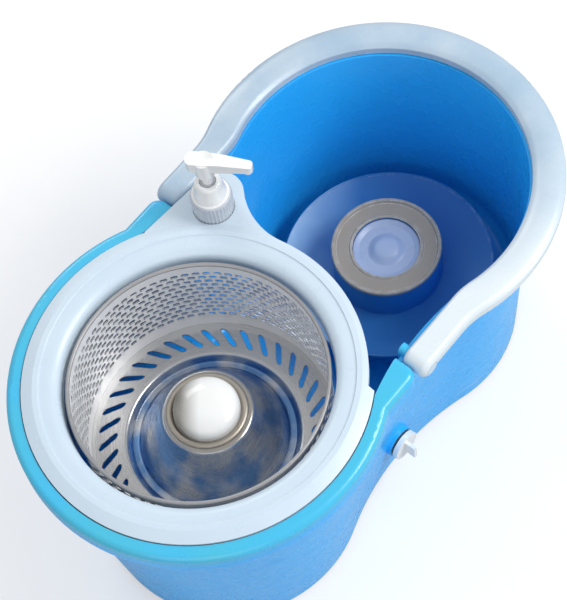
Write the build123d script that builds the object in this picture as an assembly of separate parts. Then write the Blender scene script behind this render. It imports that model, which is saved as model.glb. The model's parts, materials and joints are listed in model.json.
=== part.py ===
"""Spin bucket: a two-lobed pail with a drainer basket, a wash turntable, a carry handle and a soap pump.

Lengths are millimetres. X runs from the basket lobe to the wash tub, Z points up,
and the origin is on the floor below the middle of the pail.
"""
import os
from math import acos, atan2, cos, degrees, hypot, radians, sin, sqrt

from build123d import *

# Extra length of cuts and joins
overlap = 1.0

# Pail
lobe_spacing = 210.0
foot_height = 4.0
floor_top = 40.0
wall = 2.5
front_lip = 11.0
rear_lip = 24.0
front_taper = 23.5
rear_taper = 11.5
waist_bend = 230.0
floor_fillet = 9.0
base_round = 1.0
rib_width = 2.5
rib_lift = 4.0

# Rims
rim_top = 217.0
rim_radius = 138.5
rim_plate = 3.5
rim_skirt = 17.0
skirt_wall = 2.5
rim_round = 5.0
ear_end_x = -7.5
ear_step = 3.5
ear_round = 9.0
ledge_width = 8.0
ledge_overlap = 2.0
ledge_depth = 3.0
rear_rim_drop = 9.5
rear_flange = 11.0
rear_skirt = 11.0
rear_round = 1.5
rear_rim_gap = 11.5

# Carry handle
handle_gap = 1.0
handle_thickness = 10.0
handle_overhang = 0.8
handle_round = 5.0
handle_wall = 2.5
handle_roof = 4.0
arm_width = 21.0
arm_bend = 60.0
arm_solid = 6.0
eye_radius = 9.5
ear_gap = 1.0
pin_radius = 3.0
pin_head_radius = 5.0
pin_head = 2.4
pin_recess_gap = 0.4
running_fit = 0.05
side_play = 0.4
lug_thickness = 6.1
lug_proud = 1.0
lug_below = 12.0

# Ring cover
cover_margin = 11.5
cover_band = 27.0
cover_tub_step = 4.5
cover_corner = 66.5
cover_shell = 2.5
cover_crown = 7.0
cover_fall = 3.2
cover_skirt = 10.0
cover_edge_gap = 0.8
cover_foot = 2.5
roll_inset = 0.5
roll_depth = 6.0
roll_shoulder = 1.4
roll_shoulder_drop = 2.6
roll_run = 6.0
roll_run_drop = 0.3
roll_hollow = 2.6
roll_hollow_drop = 2.0
roll_lip = 1.5
tab_drop = 1.5
tab_nose_radius = 18.5
tab_nose_ahead = 11.1
tab_nose_out = 4.3
tab_bend = 60.0
tab_root_rise = 1.5
tab_wall = 2.0

# Spin basket
sheet = 1.0
drum_gap = 5.5
drum_rim_gap = 3.5
drum_bead = 1.6
basket_depth = 97.0
hem_fit = 0.05
hem_height = 4.0
pan_bend = 3.0
hole_columns = 48
hole_rows = 8
hole_length = 7.4
hole_height = 4.4
hole_band_top = 15.0
hole_band_bottom = 18.0
slot_count = 36
slot_margin = 7.3
slot_reach = 11.0
slot_width = 3.4
slot_sweep = 6.4
slot_phase = 2.0
gutter_margin = 9.2
gutter_fall = 4.0
gutter_flat = 6.0
gutter_depth = 5.0
cone_top_radius = 33.5
cone_height = 40.0
hub_hole_radius = 14.0

# Basket hub and spindle
hub_radius = 25.0
hub_rise = 15.0
hub_edge = 4.0
hub_shoulder_share = 0.74
hub_shoulder_rise = 0.76
hub_cavity_radius = 12.5
hub_cavity_rise = 8.0
washer_gap = 0.3
washer_inset = 2.5
washer_rise = 2.4
lower_hub_flange = 29.0
lower_hub_plate = 3.0
lower_hub_radius = 13.5
lower_hub_length = 30.0
bush_wall = 3.0
spindle_radius = 5.0
spindle_seat = 36.0
spindle_tip = 4.0
thrust_thickness = 1.6
clip_thickness = 1.2
clip_groove = 0.8
clip_flange = 2.6
screw_radius = 1.7
screw_head_radius = 3.4
screw_head = 2.4
hub_screw_circle = 19.5
hub_screw_length = 13.0
screw_count = 3

# Pillars
pillar_flange_radius = 30.0
pillar_flange = 4.0
pillar_base_radius = 20.0
pillar_top_radius = 12.0
pillar_neck = 6.0
pillar_screw_circle = 24.0
pillar_screw_radius = 2.0
pillar_screw_boss = 2.5
pillar_screw_head_radius = 4.2
pillar_screw_head = 3.0
pillar_screw_bite = 10.0
pillar_screw_hole = 2.3

# Wash turntable
wash_radius = 44.0
wash_well_radius = 27.0
wash_height = 67.0
wash_rim = 2.2
wash_rim_edge = 0.8
wash_rim_flat = 2.4
wash_rim_width = 4.0
wash_bead = 0.9
wash_bead_edge = 0.4
wash_bead_crest = 1.6
wash_bead_width = 3.0
wash_shell = 2.5
wash_well_depth = 6.0
wash_hub_radius = 10.5
wash_hub_length = 13.0
wash_spindle_radius = 4.0
wash_spindle_seat = 24.0
wash_spindle_tip = 3.0
wash_bush_wall = 2.5
wash_cap_gap = 0.4
wash_cap_rise = 6.5
wash_cap_wall = 1.6
wash_cap_edge = 3.6
wash_cap_edge_flat = 1.2
wash_cap_edge_slope = 4.5
wash_cap_dome = 13.0
wash_cap_foot = 2.0
wash_cap_shoulder = 3.0
wash_cap_shoulder_drop = 1.6
wash_cap_hollow = 4.0
wash_cap_hollow_drop = 0.6
wash_cap_hollow_foot = 1.0
dish_gap = 15.5
dish_drop = 27.0
dish_depth = 7.0
dish_sheet = 2.0
dish_skirt = 6.0
dish_shoulder = 4.0
dish_hole_radius = 20.0
dish_screw_radius = 1.5
dish_screw_play = 0.3
dish_screw_head_radius = 3.0
dish_screw_head = 2.0
dish_screw_bite = 12.0
dish_boss_wall = 2.2

# Soap pump
pump_ahead = 6.4
cup_clearance = 1.3
cup_radius = 16.0
cup_wall = 2.0
cup_depth = 8.0
cup_floor = 2.5
bottle_radius = 13.0
bottle_length = 54.0
bottle_wall = 1.5
bottle_chamfer = 2.0
bottle_shoulder = 3.0
neck_radius = 9.0
neck_height = 9.0
neck_bore = 7.4
neck_gap = 0.5
collar_radius = 15.3
collar_skirt = 28.0
collar_step_radius = 12.6
collar_dome = 16.5
collar_dome_share = 0.86
collar_dome_rise = 0.62
collar_edge = 1.2
collar_top_radius = 8.5
collar_wall = 2.2
collar_web = 2.0
collar_roof = 5.0
collar_clearance = 0.35
gasket_thickness = 1.5
gasket_inset = 0.2
cylinder_flange = 1.6
cylinder_radius = 6.2
socket_radius = 4.2
chamber_radius = 5.0
chamber_length = 44.0
chamber_floor = 4.0
sleeve_radius = 6.0
sleeve_above = 0.3
stem_radius = 4.2
stem_bore = 1.5
stem_lift = 21.0
piston_length = 6.0
piston_stop = 1.0
ball_radius = 2.0
ball_play = 0.6
ball_seat_rise = 1.5
spring_radius = 3.6
spring_wire = 0.6
spring_turns = 5
tube_radius = 2.4
tube_bore = 1.6
tube_socket = 6.0
tube_clearance = 3.0
head_lift = 12.7
head_height = 17.0
head_radius = 7.5
nozzle_reach = 36.0
nozzle_tail = 13.0
nozzle_width = 12.0
nozzle_tip_width = 7.0
nozzle_height = 10.0
nozzle_drop = 4.0
nozzle_lip = 4.0
nozzle_lip_share = 0.8
nozzle_lip_inset = 0.5
nozzle_tail_round = 0.9
nozzle_tip_round = 0.7
nozzle_heading = -59.0
dimple_radius = 20.0
dimple_depth = 1.4

# Drain
drain_x = -4.0
drain_above_floor = 10.0
drain_bore = 7.2
drain_boss_radius = 13.5
drain_boss_proud = 4.5
drain_boss_root = 7.0
drain_seal = 2.0
drain_seal_radius = 11.5
drain_head_radius = 12.5
drain_head = 4.0
drain_plug_length = 11.0
drain_tab_length = 9.0
drain_tab_width = 3.0
drain_tab_height = 16.0
drain_fit = 0.08

# Feet
foot_radius = 9.0
foot_stud_radius = 3.0
foot_stud = 7.0
foot_boss_radius = 7.5
foot_inset = 19.5
front_foot_angles = (105.0, 180.0, 255.0)
rear_foot_angles = (-75.0, 0.0, 75.0)

# Places that follow from the sizes above
basket_x = -lobe_spacing / 2
tub_x = lobe_spacing / 2
basket_centre = (basket_x, 0.0)
tub_centre = (tub_x, 0.0)
floor_bottom = floor_top - wall
front_top_radius = rim_radius - front_lip
rear_top_radius = rim_radius - rear_lip
front_base_radius = front_top_radius - front_taper
rear_base_radius = rear_top_radius - rear_taper
ledge_top = rim_top - rim_plate
rear_rim_top = rim_top - rear_rim_drop
far = lobe_spacing + 2 * rim_radius


def touch_point(centre, radius, other):
    """Point of a circle that faces another point."""
    run = hypot(other[0] - centre[0], other[1] - centre[1])
    return (
        centre[0] + (other[0] - centre[0]) * radius / run,
        centre[1] + (other[1] - centre[1]) * radius / run,
    )


def hollow_centre(first, first_radius, second, second_radius, bend, side):
    """Centre of an arc that touches two circles from outside, on one side of them."""
    run_x = second[0] - first[0]
    run_y = second[1] - first[1]
    run = hypot(run_x, run_y)
    first_reach = first_radius + bend
    second_reach = second_radius + bend
    along = (run**2 + first_reach**2 - second_reach**2) / (2 * run)
    aside = side * sqrt(first_reach**2 - along**2)
    return (
        first[0] + (run_x * along - run_y * aside) / run,
        first[1] + (run_y * along + run_x * aside) / run,
    )


def arc_about(centre, start, end):
    """Shorter arc about a centre between two points."""
    radius = hypot(start[0] - centre[0], start[1] - centre[1])
    middle = touch_point(centre, radius, ((start[0] + end[0]) / 2, (start[1] + end[1]) / 2))
    return ThreePointArc(start, middle, end)


def mirrored(point):
    """The same place on the other side of the pail."""
    return (point[0], -point[1])


def lobes_outline(front_radius, rear_radius, bend):
    """Two lobes joined by hollow waist arcs, as one flat face."""
    centre = hollow_centre(basket_centre, front_radius, tub_centre, rear_radius, bend, 1)
    front = touch_point(basket_centre, front_radius, centre)
    rear = touch_point(tub_centre, rear_radius, centre)
    edges = [
        ThreePointArc(front, (basket_x - front_radius, 0), mirrored(front)),
        arc_about(mirrored(centre), mirrored(front), mirrored(rear)),
        ThreePointArc(mirrored(rear), (tub_x + rear_radius, 0), rear),
        arc_about(centre, rear, front),
    ]
    return make_face(edges)


def wall_radii(height):
    """Outer radii of the front and rear lobes at a height."""
    share = (height - foot_height) / (rear_rim_top - foot_height)
    front = front_base_radius + share * (front_top_radius - front_base_radius)
    rear = rear_base_radius + share * (rear_top_radius - rear_base_radius)
    return front, rear


def waist_half_width(x, height):
    """Half width of the pail over the outer wall at a place on the waist."""
    front, rear = wall_radii(height)
    centre = hollow_centre(basket_centre, front, tub_centre, rear, waist_bend, 1)
    return centre[1] - sqrt(waist_bend**2 - (x - centre[0]) ** 2)


# Handle, cover, basket and pump places
handle_bottom = rear_rim_top + handle_gap
handle_top = handle_bottom + handle_thickness
handle_outer_radius = rim_radius
handle_inner_radius = rear_top_radius - handle_overhang
pivot_x = ear_end_x + ear_gap + eye_radius
pivot_z = handle_top - eye_radius
lug_outer = waist_half_width(pivot_x, rear_rim_top) + lug_proud
lug_inner = lug_outer - lug_thickness
lug_radius = ledge_top - pivot_z
arm_inner = lug_outer + side_play
arm_outer = arm_inner + arm_width
ear_half_width = arm_outer - ear_step
pin_recess = pin_head + side_play

cover_outer_radius = rim_radius - cover_margin
cover_tub_radius = cover_outer_radius - cover_tub_step
cover_inner_radius = cover_outer_radius - cover_band
cover_corner_x = basket_x + cover_corner
cover_top = ledge_top + cover_crown
cover_bottom = ledge_top - cover_skirt
tab_top = cover_top - tab_drop

pump_x = pivot_x + pump_ahead
pump_y = lug_inner - cup_clearance - cup_wall - cup_radius
cup_seat = tab_top - cup_depth
cup_underside = cup_seat - cup_floor
tab_nose = (pump_x + tab_nose_ahead, pump_y + tab_nose_out)

drum_radius = cover_inner_radius - drum_gap
drum_top = rim_top - drum_rim_gap
basket_floor = rim_top - basket_depth
hem_radius = drum_radius + hem_fit + sheet
slot_outer_radius = drum_radius - slot_margin
slot_inner_radius = slot_outer_radius - slot_reach
gutter_radius = slot_inner_radius - gutter_margin
seat_top = basket_floor + cone_height
seat_underside = seat_top - sheet

lower_hub_bottom = seat_underside - lower_hub_length
pillar_top = lower_hub_bottom - thrust_thickness
spindle_clip_base = seat_top + running_fit
bush_radius = spindle_radius + running_fit + bush_wall
hub_screw_base = seat_underside - lower_hub_plate
hub_screw_tip = hub_screw_base + hub_screw_length

wash_top = floor_top + wash_height
wash_well_floor = wash_top - wash_rim - wash_well_depth
wash_hub_bottom = wash_well_floor - wash_hub_length
wash_pillar_top = wash_hub_bottom - thrust_thickness
wash_bush_radius = wash_spindle_radius + running_fit + wash_bush_wall
wash_clip_base = wash_well_floor + running_fit
dish_radius = rear_base_radius - wall - dish_gap
dish_top = wash_top - dish_drop
dish_floor = dish_top - dish_depth
dish_underside = dish_floor - dish_sheet
dish_screw_circle = (wash_well_radius + wash_radius) / 2

bottle_top = cup_underside
neck_top = bottle_top + cup_floor + neck_height
gasket_top = neck_top + gasket_thickness
gasket_radius = neck_radius - gasket_inset
sleeve_base = gasket_top + cylinder_flange
chamber_base = gasket_top - chamber_length
ball_seat = chamber_base - chamber_floor
piston_top = gasket_top - piston_stop - running_fit
piston_base = piston_top - piston_length
collar_skirt_top = cup_seat + collar_skirt
collar_top = collar_skirt_top + collar_dome
stem_top = collar_top + stem_lift
head_bottom = collar_top + head_lift
head_top = head_bottom + head_height

drain_z = floor_top + drain_above_floor
drain_wall_y = waist_half_width(drain_x, drain_z)
drain_face_y = drain_wall_y + drain_boss_proud
drain_seat_y = drain_face_y + drain_seal


def cylinder(radius, low, high, x=0.0, y=0.0):
    """Upright cylinder between two heights."""
    return Pos(x, y, (low + high) / 2) * Cylinder(radius, high - low)


def tube(outer, inner, low, high, x=0.0, y=0.0):
    """Upright tube between two heights."""
    return cylinder(outer, low, high, x, y) - cylinder(inner, low - overlap, high + overlap, x, y)


def cylinder_along_y(radius, near, far_end, x, z):
    """Level cylinder along Y between two Y positions."""
    length = abs(far_end - near)
    return Pos(x, (near + far_end) / 2, z) * Rot(90, 0, 0) * Cylinder(radius, length)


def block(x_range, y_range, z_range):
    """Box between three pairs of limits."""
    lows = [min(pair) for pair in (x_range, y_range, z_range)]
    sizes = [abs(pair[1] - pair[0]) for pair in (x_range, y_range, z_range)]
    return Pos(*[low + size / 2 for low, size in zip(lows, sizes)]) * Box(*sizes)


def turned(outline, x=0.0, y=0.0):
    """Solid of revolution from a closed outline of (radius, height) points, or from edges drawn so."""
    if isinstance(outline[0], tuple):
        outline = [Polyline(*outline, close=True)]
    section = Rot(90, 0, 0) * make_face(outline)
    return Pos(x, y, 0) * revolve(section, Axis.Z, 360)


def flat(face, low, high):
    """Upright prism of a flat face between two heights."""
    return extrude(Pos(0, 0, low) * face, high - low)


def before(x):
    """Everything on the basket side of a place along the pail, as a flat face."""
    return Pos(x - far, 0) * Rectangle(2 * far, 2 * far)


def beyond(x):
    """Everything on the tub side of a place along the pail, as a flat face."""
    return Pos(x + far, 0) * Rectangle(2 * far, 2 * far)


def around(count, radius, centre, start=0.0):
    """Points evenly spaced on a circle."""
    angles = [radians(start + 360 * index / count) for index in range(count)]
    return [(centre[0] + radius * cos(angle), centre[1] + radius * sin(angle)) for angle in angles]


def wall_outline(height, inset):
    """Outline of the tapered wall at a height, moved inward by an inset."""
    front, rear = wall_radii(height)
    return lobes_outline(front - inset, rear - inset, waist_bend + inset)


def wall_loft(low, high, inset):
    """Tapered body between two heights, inside the wall by an inset."""
    sections = [Pos(0, 0, height) * wall_outline(height, inset) for height in (low, high)]
    return loft(sections, ruled=True)


def front_rim_plan(inset):
    """Front rim seen from above: the round lip and the two hinge ears."""
    end = ear_end_x - inset
    disc = Pos(*basket_centre) * Circle(rim_radius - inset)
    ears = RectangleRounded(end - basket_x, 2 * (ear_half_width - inset), ear_round - inset / 2)
    return (disc & before(end)) + Pos((end + basket_x) / 2, 0) * ears


def rear_rim_plan(grow):
    """Rear rim seen from above, behind the handle's eyes."""
    start = pivot_x + eye_radius + rear_rim_gap
    outline = lobes_outline(front_top_radius + grow, rear_top_radius + grow, waist_bend - grow)
    return outline & beyond(start)


def tab_plan(grow):
    """Tab of the cover that carries the soap pump, seen from above."""
    ring_radius = cover_tub_radius + grow
    nose_radius = tab_nose_radius + grow
    centre = hollow_centre(basket_centre, ring_radius, tab_nose, nose_radius, tab_bend - grow, -1)
    on_ring = touch_point(basket_centre, ring_radius, centre)
    on_nose = touch_point(tab_nose, nose_radius, centre)
    root = (cover_corner_x + grow, arm_inner + tab_root_rise + grow)
    run = (root[0] - tab_nose[0], root[1] - tab_nose[1])
    angle = atan2(run[1], run[0]) - acos(nose_radius / hypot(*run))
    crest = (tab_nose[0] + nose_radius * cos(angle), tab_nose[1] + nose_radius * sin(angle))
    edges = [
        Line(root, crest),
        arc_about(tab_nose, crest, on_nose),
        arc_about(centre, on_nose, on_ring),
        Polyline(on_ring, basket_centre, root),
    ]
    return make_face(edges)


def cover_plan(grow):
    """Cover seen from above, without its opening."""
    disc = Pos(*basket_centre) * Circle(cover_outer_radius + grow)
    ring = Pos(*basket_centre) * Circle(cover_tub_radius + grow)
    return (disc & before(cover_corner_x + grow)) + ring + tab_plan(grow)


def loop_plan(radius, half_width):
    """Round end with two straight arms and a soft bend between them, seen from above."""
    centre_y = half_width + arm_bend
    centre_x = tub_x - sqrt((radius + arm_bend) ** 2 - centre_y**2)
    centre = (centre_x, centre_y)
    on_arm = (centre_x, half_width)
    on_ring = touch_point(tub_centre, radius, centre)
    start = (pivot_x - eye_radius, half_width)
    edges = [
        Line(start, on_arm),
        arc_about(centre, on_arm, on_ring),
        ThreePointArc(on_ring, (tub_x + radius, 0), mirrored(on_ring)),
        arc_about(mirrored(centre), mirrored(on_ring), mirrored(on_arm)),
        Line(mirrored(on_arm), mirrored(start)),
        Line(mirrored(start), start),
    ]
    return make_face(edges)


def foot_points():
    """Places of the feet under both lobes."""
    front = [(basket_x, front_base_radius - foot_inset, radians(angle)) for angle in front_foot_angles]
    rear = [(tub_x, rear_base_radius - foot_inset, radians(angle)) for angle in rear_foot_angles]
    return [(x + reach * cos(angle), reach * sin(angle)) for x, reach, angle in front + rear]


def pillar_screw_points():
    """Places of the screws that hold both pillars."""
    front = around(screw_count, pillar_screw_circle, basket_centre)
    return front + around(screw_count, pillar_screw_circle, tub_centre)


def hub_screw_points():
    """Places of the screws that clamp the basket between its hubs."""
    return around(screw_count, hub_screw_circle, basket_centre, 90.0)


def dish_screw_points():
    """Places of the screws that hold the wash dish under its grey ring."""
    return around(screw_count, dish_screw_circle, tub_centre, 30.0)


def make_bucket_body():
    body = wall_loft(foot_height, rear_rim_top, 0)
    body = fillet(body.edges().group_by(Axis.Z)[0], base_round)
    cavity = wall_loft(floor_top, rear_rim_top, wall)
    cavity = fillet(cavity.edges().group_by(Axis.Z)[0], floor_fillet)
    throat = flat(wall_outline(rear_rim_top, wall), rear_rim_top - overlap, cover_top)

    # Front rim: plate, skirt and the hinge ears
    skirt_bottom = rim_top - rim_skirt
    rim = flat(front_rim_plan(0), skirt_bottom, rim_top)
    rim = fillet(rim.edges().group_by(Axis.Z)[-1], rim_round)
    rim -= flat(front_rim_plan(skirt_wall), skirt_bottom - overlap, ledge_top)
    rim += flat(wall_outline(rear_rim_top, 0) & before(ear_end_x), skirt_bottom, ledge_top)

    # Rear rim below the folded handle
    rear_bottom = rear_rim_top - rear_skirt
    rear = flat(rear_rim_plan(rear_flange), rear_bottom, rear_rim_top)
    rear = fillet(rear.edges().group_by(Axis.Z)[-1], rear_round)
    rear -= flat(rear_rim_plan(rear_flange - skirt_wall), rear_bottom - overlap, rear_rim_top - rim_plate)

    # Ledge that carries the cover
    ledge_outer = Pos(*basket_centre) * Circle(cover_outer_radius + ledge_overlap)
    ledge_inner = Pos(*basket_centre) * Circle(cover_outer_radius - ledge_width)
    ledge = flat((ledge_outer - ledge_inner) & before(cover_corner_x), ledge_top - ledge_depth, ledge_top)

    body = body + rim + rear - cavity - throat + ledge
    body -= flat(cover_plan(cover_edge_gap), ledge_top, cover_top)

    # Lugs for the handle pins
    for side in (1, -1):
        body += block(
            (pivot_x - lug_radius, pivot_x + lug_radius),
            (side * lug_inner, side * lug_outer),
            (pivot_z - lug_below, pivot_z),
        )
        body += cylinder_along_y(lug_radius, side * lug_inner, side * lug_outer, pivot_x, pivot_z)
        bore_ends = (side * (lug_inner - overlap), side * (lug_outer + overlap))
        body -= cylinder_along_y(pin_radius, *bore_ends, pivot_x, pivot_z)

    # Hollow underside with ribs and foot bosses
    body -= wall_loft(foot_height, floor_bottom, wall)
    rib_heights = (foot_height + rib_lift, floor_bottom)
    ribs = block((-far, far), (-rib_width / 2, rib_width / 2), rib_heights)
    for x in (basket_x, tub_x):
        ribs += block((x - rib_width / 2, x + rib_width / 2), (-far, far), rib_heights)
        ribs -= cylinder(pillar_flange_radius, 0, floor_bottom, x)
    body += ribs & wall_loft(foot_height, floor_bottom, wall / 2)
    for x, y in foot_points():
        body += cylinder(foot_boss_radius, foot_height, floor_bottom + wall / 2, x, y)
        body -= cylinder(foot_stud_radius, foot_height - overlap, foot_height + foot_stud, x, y)
    for x, y in pillar_screw_points():
        body -= cylinder(pillar_screw_hole, floor_bottom - overlap, floor_top + overlap, x, y)

    # Drain boss on the waist
    root_y = drain_boss_root - drain_wall_y
    boss = cylinder_along_y(drain_boss_radius, -drain_face_y, root_y, drain_x, drain_z)
    body += boss - wall_loft(floor_top, rear_rim_top, wall)
    body -= cylinder_along_y(drain_bore, -drain_face_y - overlap, root_y + drain_boss_root, drain_x, drain_z)
    return body


def make_ring_cover():
    inner = cover_inner_radius
    middle = (cover_inner_radius + cover_outer_radius) / 2
    outer = cover_outer_radius + ledge_overlap
    edge_top = cover_top - cover_fall
    roll = (inner - roll_inset, cover_top - roll_depth)
    crown_points = [
        roll,
        (inner + roll_shoulder, cover_top - roll_shoulder_drop),
        (inner + roll_run, cover_top - roll_run_drop),
        (middle, cover_top),
        (outer, edge_top),
    ]
    crown = Spline(crown_points, tangents=[(0.1, 1), (1, -0.42)])
    under = Polyline(
        (outer, edge_top),
        (outer, edge_top - cover_shell),
        (middle, cover_top - cover_shell),
        (inner + roll_run, cover_top - roll_run_drop - cover_shell),
        (inner + roll_hollow, cover_top - roll_hollow_drop - cover_shell),
        (inner + roll_lip, cover_bottom),
        (inner - roll_lip, cover_bottom),
        roll,
    )
    ring = turned([crown, under], basket_x)
    ring = ring & flat(cover_plan(0), cover_bottom - overlap, cover_top + overlap)
    foot_outer = Pos(*basket_centre) * Circle(cover_outer_radius)
    foot_inner = Pos(*basket_centre) * Circle(cover_outer_radius - cover_foot)
    foot = (foot_outer - foot_inner) & before(cover_corner_x)
    ring += flat(foot, ledge_top, edge_top - cover_shell / 2)
    lip_outer = Pos(*basket_centre) * Circle(cover_tub_radius)
    lip_inner = Pos(*basket_centre) * Circle(cover_tub_radius - cover_foot)
    lip = (lip_outer - lip_inner) & beyond(cover_corner_x + cover_foot)
    ring += flat(lip, ledge_top - cover_foot, edge_top - cover_shell / 2)

    # Tab and the cup for the pump collar
    tab = flat(tab_plan(0), ledge_top, tab_top)
    tab -= flat(tab_plan(-tab_wall), ledge_top - overlap, tab_top - cover_shell)
    ring += tab - cylinder(middle, 0, cover_top + overlap, basket_x)
    ring += cylinder(cup_radius + cup_wall, cup_underside, tab_top, pump_x, pump_y)
    ring -= cylinder(cup_radius, cup_seat, cover_top, pump_x, pump_y)
    ring -= cylinder(neck_radius + neck_gap, cup_underside - overlap, cover_top, pump_x, pump_y)
    return ring


def make_basket_drum():
    drum = tube(drum_radius, drum_radius - sheet, basket_floor, drum_top - drum_bead, basket_x)
    drum += Pos(basket_x, 0, drum_top - drum_bead) * Torus(drum_radius, drum_bead)
    low_row = basket_floor + hole_band_bottom
    row_pitch = (drum_top - hole_band_top - low_row) / (hole_rows - 1)
    hole = Pos(drum_radius, 0, 0) * Box(8 * sheet, hole_length, hole_height)
    holes = []
    for row in range(hole_rows):
        for column in range(hole_columns):
            turn = Rot(0, 0, 360 * (column + row % 2 / 2) / hole_columns)
            holes.append(Pos(basket_x, 0, low_row + row * row_pitch) * turn * hole)
    return drum - holes


def make_spin_basket():
    bends = [
        (hem_radius, basket_floor - sheet),
        (gutter_radius, basket_floor - sheet),
        (gutter_radius - gutter_fall, basket_floor - sheet - gutter_depth),
        (gutter_radius - gutter_fall - gutter_flat, basket_floor - sheet - gutter_depth),
        (cone_top_radius, seat_underside),
        (hub_hole_radius, seat_underside),
    ]
    underside = FilletPolyline(*bends, radius=pan_bend)
    section = make_face(offset(underside, sheet, side=Side.RIGHT))
    pan = Pos(basket_x, 0, 0) * revolve(Rot(90, 0, 0) * section, Axis.Z, 360)
    pan += tube(hem_radius, hem_radius - sheet, basket_floor - sheet, basket_floor + hem_height, basket_x)
    half_sweep = radians(slot_sweep / 2)
    inner_end = (slot_inner_radius * cos(half_sweep), -slot_inner_radius * sin(half_sweep))
    outer_end = (slot_outer_radius * cos(half_sweep), slot_outer_radius * sin(half_sweep))
    run = hypot(outer_end[0] - inner_end[0], outer_end[1] - inner_end[1])
    lean = degrees(atan2(outer_end[1] - inner_end[1], outer_end[0] - inner_end[0]))
    middle = ((inner_end[0] + outer_end[0]) / 2, (inner_end[1] + outer_end[1]) / 2)
    slot = Pos(*middle) * Rot(0, 0, lean) * extrude(SlotOverall(run, slot_width), 4 * sheet)
    slots = []
    for index in range(slot_count):
        turn = Rot(0, 0, slot_phase + 360 * index / slot_count)
        slots.append(Pos(basket_x, 0, basket_floor - 2 * sheet) * turn * slot)
    pan -= slots
    for x, y in hub_screw_points():
        pan -= cylinder(screw_radius, seat_underside - overlap, seat_top + overlap, x, y)
    return pan


def make_hub_cap():
    dome_base = seat_top + hub_edge
    dome_top = seat_top + hub_rise
    shoulder = (hub_radius * hub_shoulder_share, dome_base + (dome_top - dome_base) * hub_shoulder_rise)
    dome = Spline([(hub_radius, dome_base), shoulder, (0, dome_top)], tangents=[(0, 1), (-1, 0)])
    base = Polyline((0, dome_top), (0, seat_top), (hub_radius, seat_top), (hub_radius, dome_base))
    cap = turned([dome, base], basket_x)
    cap -= cylinder(hub_cavity_radius, seat_top - overlap, seat_top + hub_cavity_rise, basket_x)
    for x, y in hub_screw_points():
        cap -= cylinder(screw_radius, seat_top - overlap, hub_screw_tip, x, y)
    return cap


def make_hub_washer():
    inner = hub_radius + washer_gap
    outer = cone_top_radius - washer_inset
    top = seat_top + washer_rise
    bead = ThreePointArc((outer, seat_top), ((inner + outer) / 2, top), (inner, seat_top))
    return turned([bead, Line((inner, seat_top), (outer, seat_top))], basket_x)


def make_lower_hub():
    hub = cylinder(lower_hub_flange, hub_screw_base, seat_underside, basket_x)
    hub += cylinder(lower_hub_radius, lower_hub_bottom, seat_top, basket_x)
    hub -= cylinder(bush_radius, lower_hub_bottom - overlap, seat_top + overlap, basket_x)
    for x, y in hub_screw_points():
        hub -= cylinder(screw_radius, hub_screw_base - overlap, seat_underside + overlap, x, y)
    return hub


def make_hub_screws():
    screws = []
    for x, y in hub_screw_points():
        shank = cylinder(screw_radius, hub_screw_base, hub_screw_tip, x, y)
        screws.append(shank + cylinder(screw_head_radius, hub_screw_base - screw_head, hub_screw_base, x, y))
    return screws


def make_pillar(centre, top, seat, bore):
    """Pillar with a foot flange, screw bosses and a blind bore for its spindle."""
    flange_top = floor_top + pillar_flange
    cone = [
        (0, floor_top),
        (pillar_flange_radius, floor_top),
        (pillar_flange_radius, flange_top),
        (pillar_base_radius, flange_top),
        (pillar_top_radius, top - pillar_neck),
        (pillar_top_radius, top),
        (0, top),
    ]
    pillar = turned(cone, *centre)
    for x, y in around(screw_count, pillar_screw_circle, centre):
        boss_top = floor_top + pillar_screw_bite + pillar_screw_boss
        pillar += cylinder(pillar_screw_radius + pillar_screw_boss, floor_top, boss_top, x, y)
        pillar -= cylinder(pillar_screw_radius, floor_top - overlap, floor_top + pillar_screw_bite, x, y)
    return pillar - cylinder(bore, top - seat, top + overlap, *centre)


def make_pillar_screws():
    screws = []
    for x, y in pillar_screw_points():
        shank = cylinder(pillar_screw_radius, floor_bottom, floor_top + pillar_screw_bite, x, y)
        head = cylinder(pillar_screw_head_radius, floor_bottom - pillar_screw_head, floor_bottom, x, y)
        screws.append(shank + head)
    return screws


def make_spindle(x, radius, low, clip_base, top):
    """Spindle with a groove for its retaining clip."""
    groove = tube(radius + overlap, radius - clip_groove, clip_base, clip_base + clip_thickness, x)
    return cylinder(radius, low, top, x) - groove


def make_clip(x, radius, clip_base):
    """Open retaining clip that sits in a spindle's groove."""
    clip_top = clip_base + clip_thickness
    clip = tube(radius + clip_flange, radius - clip_groove, clip_base, clip_top, x)
    mouth_x = (x, x + radius + clip_flange + overlap)
    mouth_z = (clip_base - overlap, clip_top + overlap)
    return clip - block(mouth_x, (-radius / 2, radius / 2), mouth_z)


def make_wash_plate():
    face = wash_top - wash_rim
    profile = [
        (wash_bush_radius, wash_hub_bottom),
        (wash_hub_radius, wash_hub_bottom),
        (wash_hub_radius, wash_well_floor - wash_shell),
        (wash_well_radius + wash_shell, wash_well_floor - wash_shell),
        (wash_well_radius + wash_shell, face - wash_shell),
        (wash_radius - wash_shell, face - wash_shell),
        (wash_radius - wash_shell, dish_floor),
        (wash_radius, dish_floor),
        (wash_radius, wash_top - wash_rim_edge),
        (wash_radius - wash_rim_edge, wash_top),
        (wash_radius - wash_rim_flat, wash_top),
        (wash_radius - wash_rim_width, face),
        (wash_well_radius + wash_bead_width, face),
        (wash_well_radius + wash_bead_crest, face + wash_bead),
        (wash_well_radius, face + wash_bead_edge),
        (wash_well_radius, wash_well_floor),
        (wash_bush_radius, wash_well_floor),
    ]
    plate = turned(profile, tub_x)
    for x, y in dish_screw_points():
        plate += cylinder(dish_screw_radius + dish_boss_wall, dish_floor, face - wash_shell / 2, x, y)
        plate -= cylinder(dish_screw_radius, dish_floor - overlap, dish_floor + dish_screw_bite, x, y)
    return plate


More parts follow.
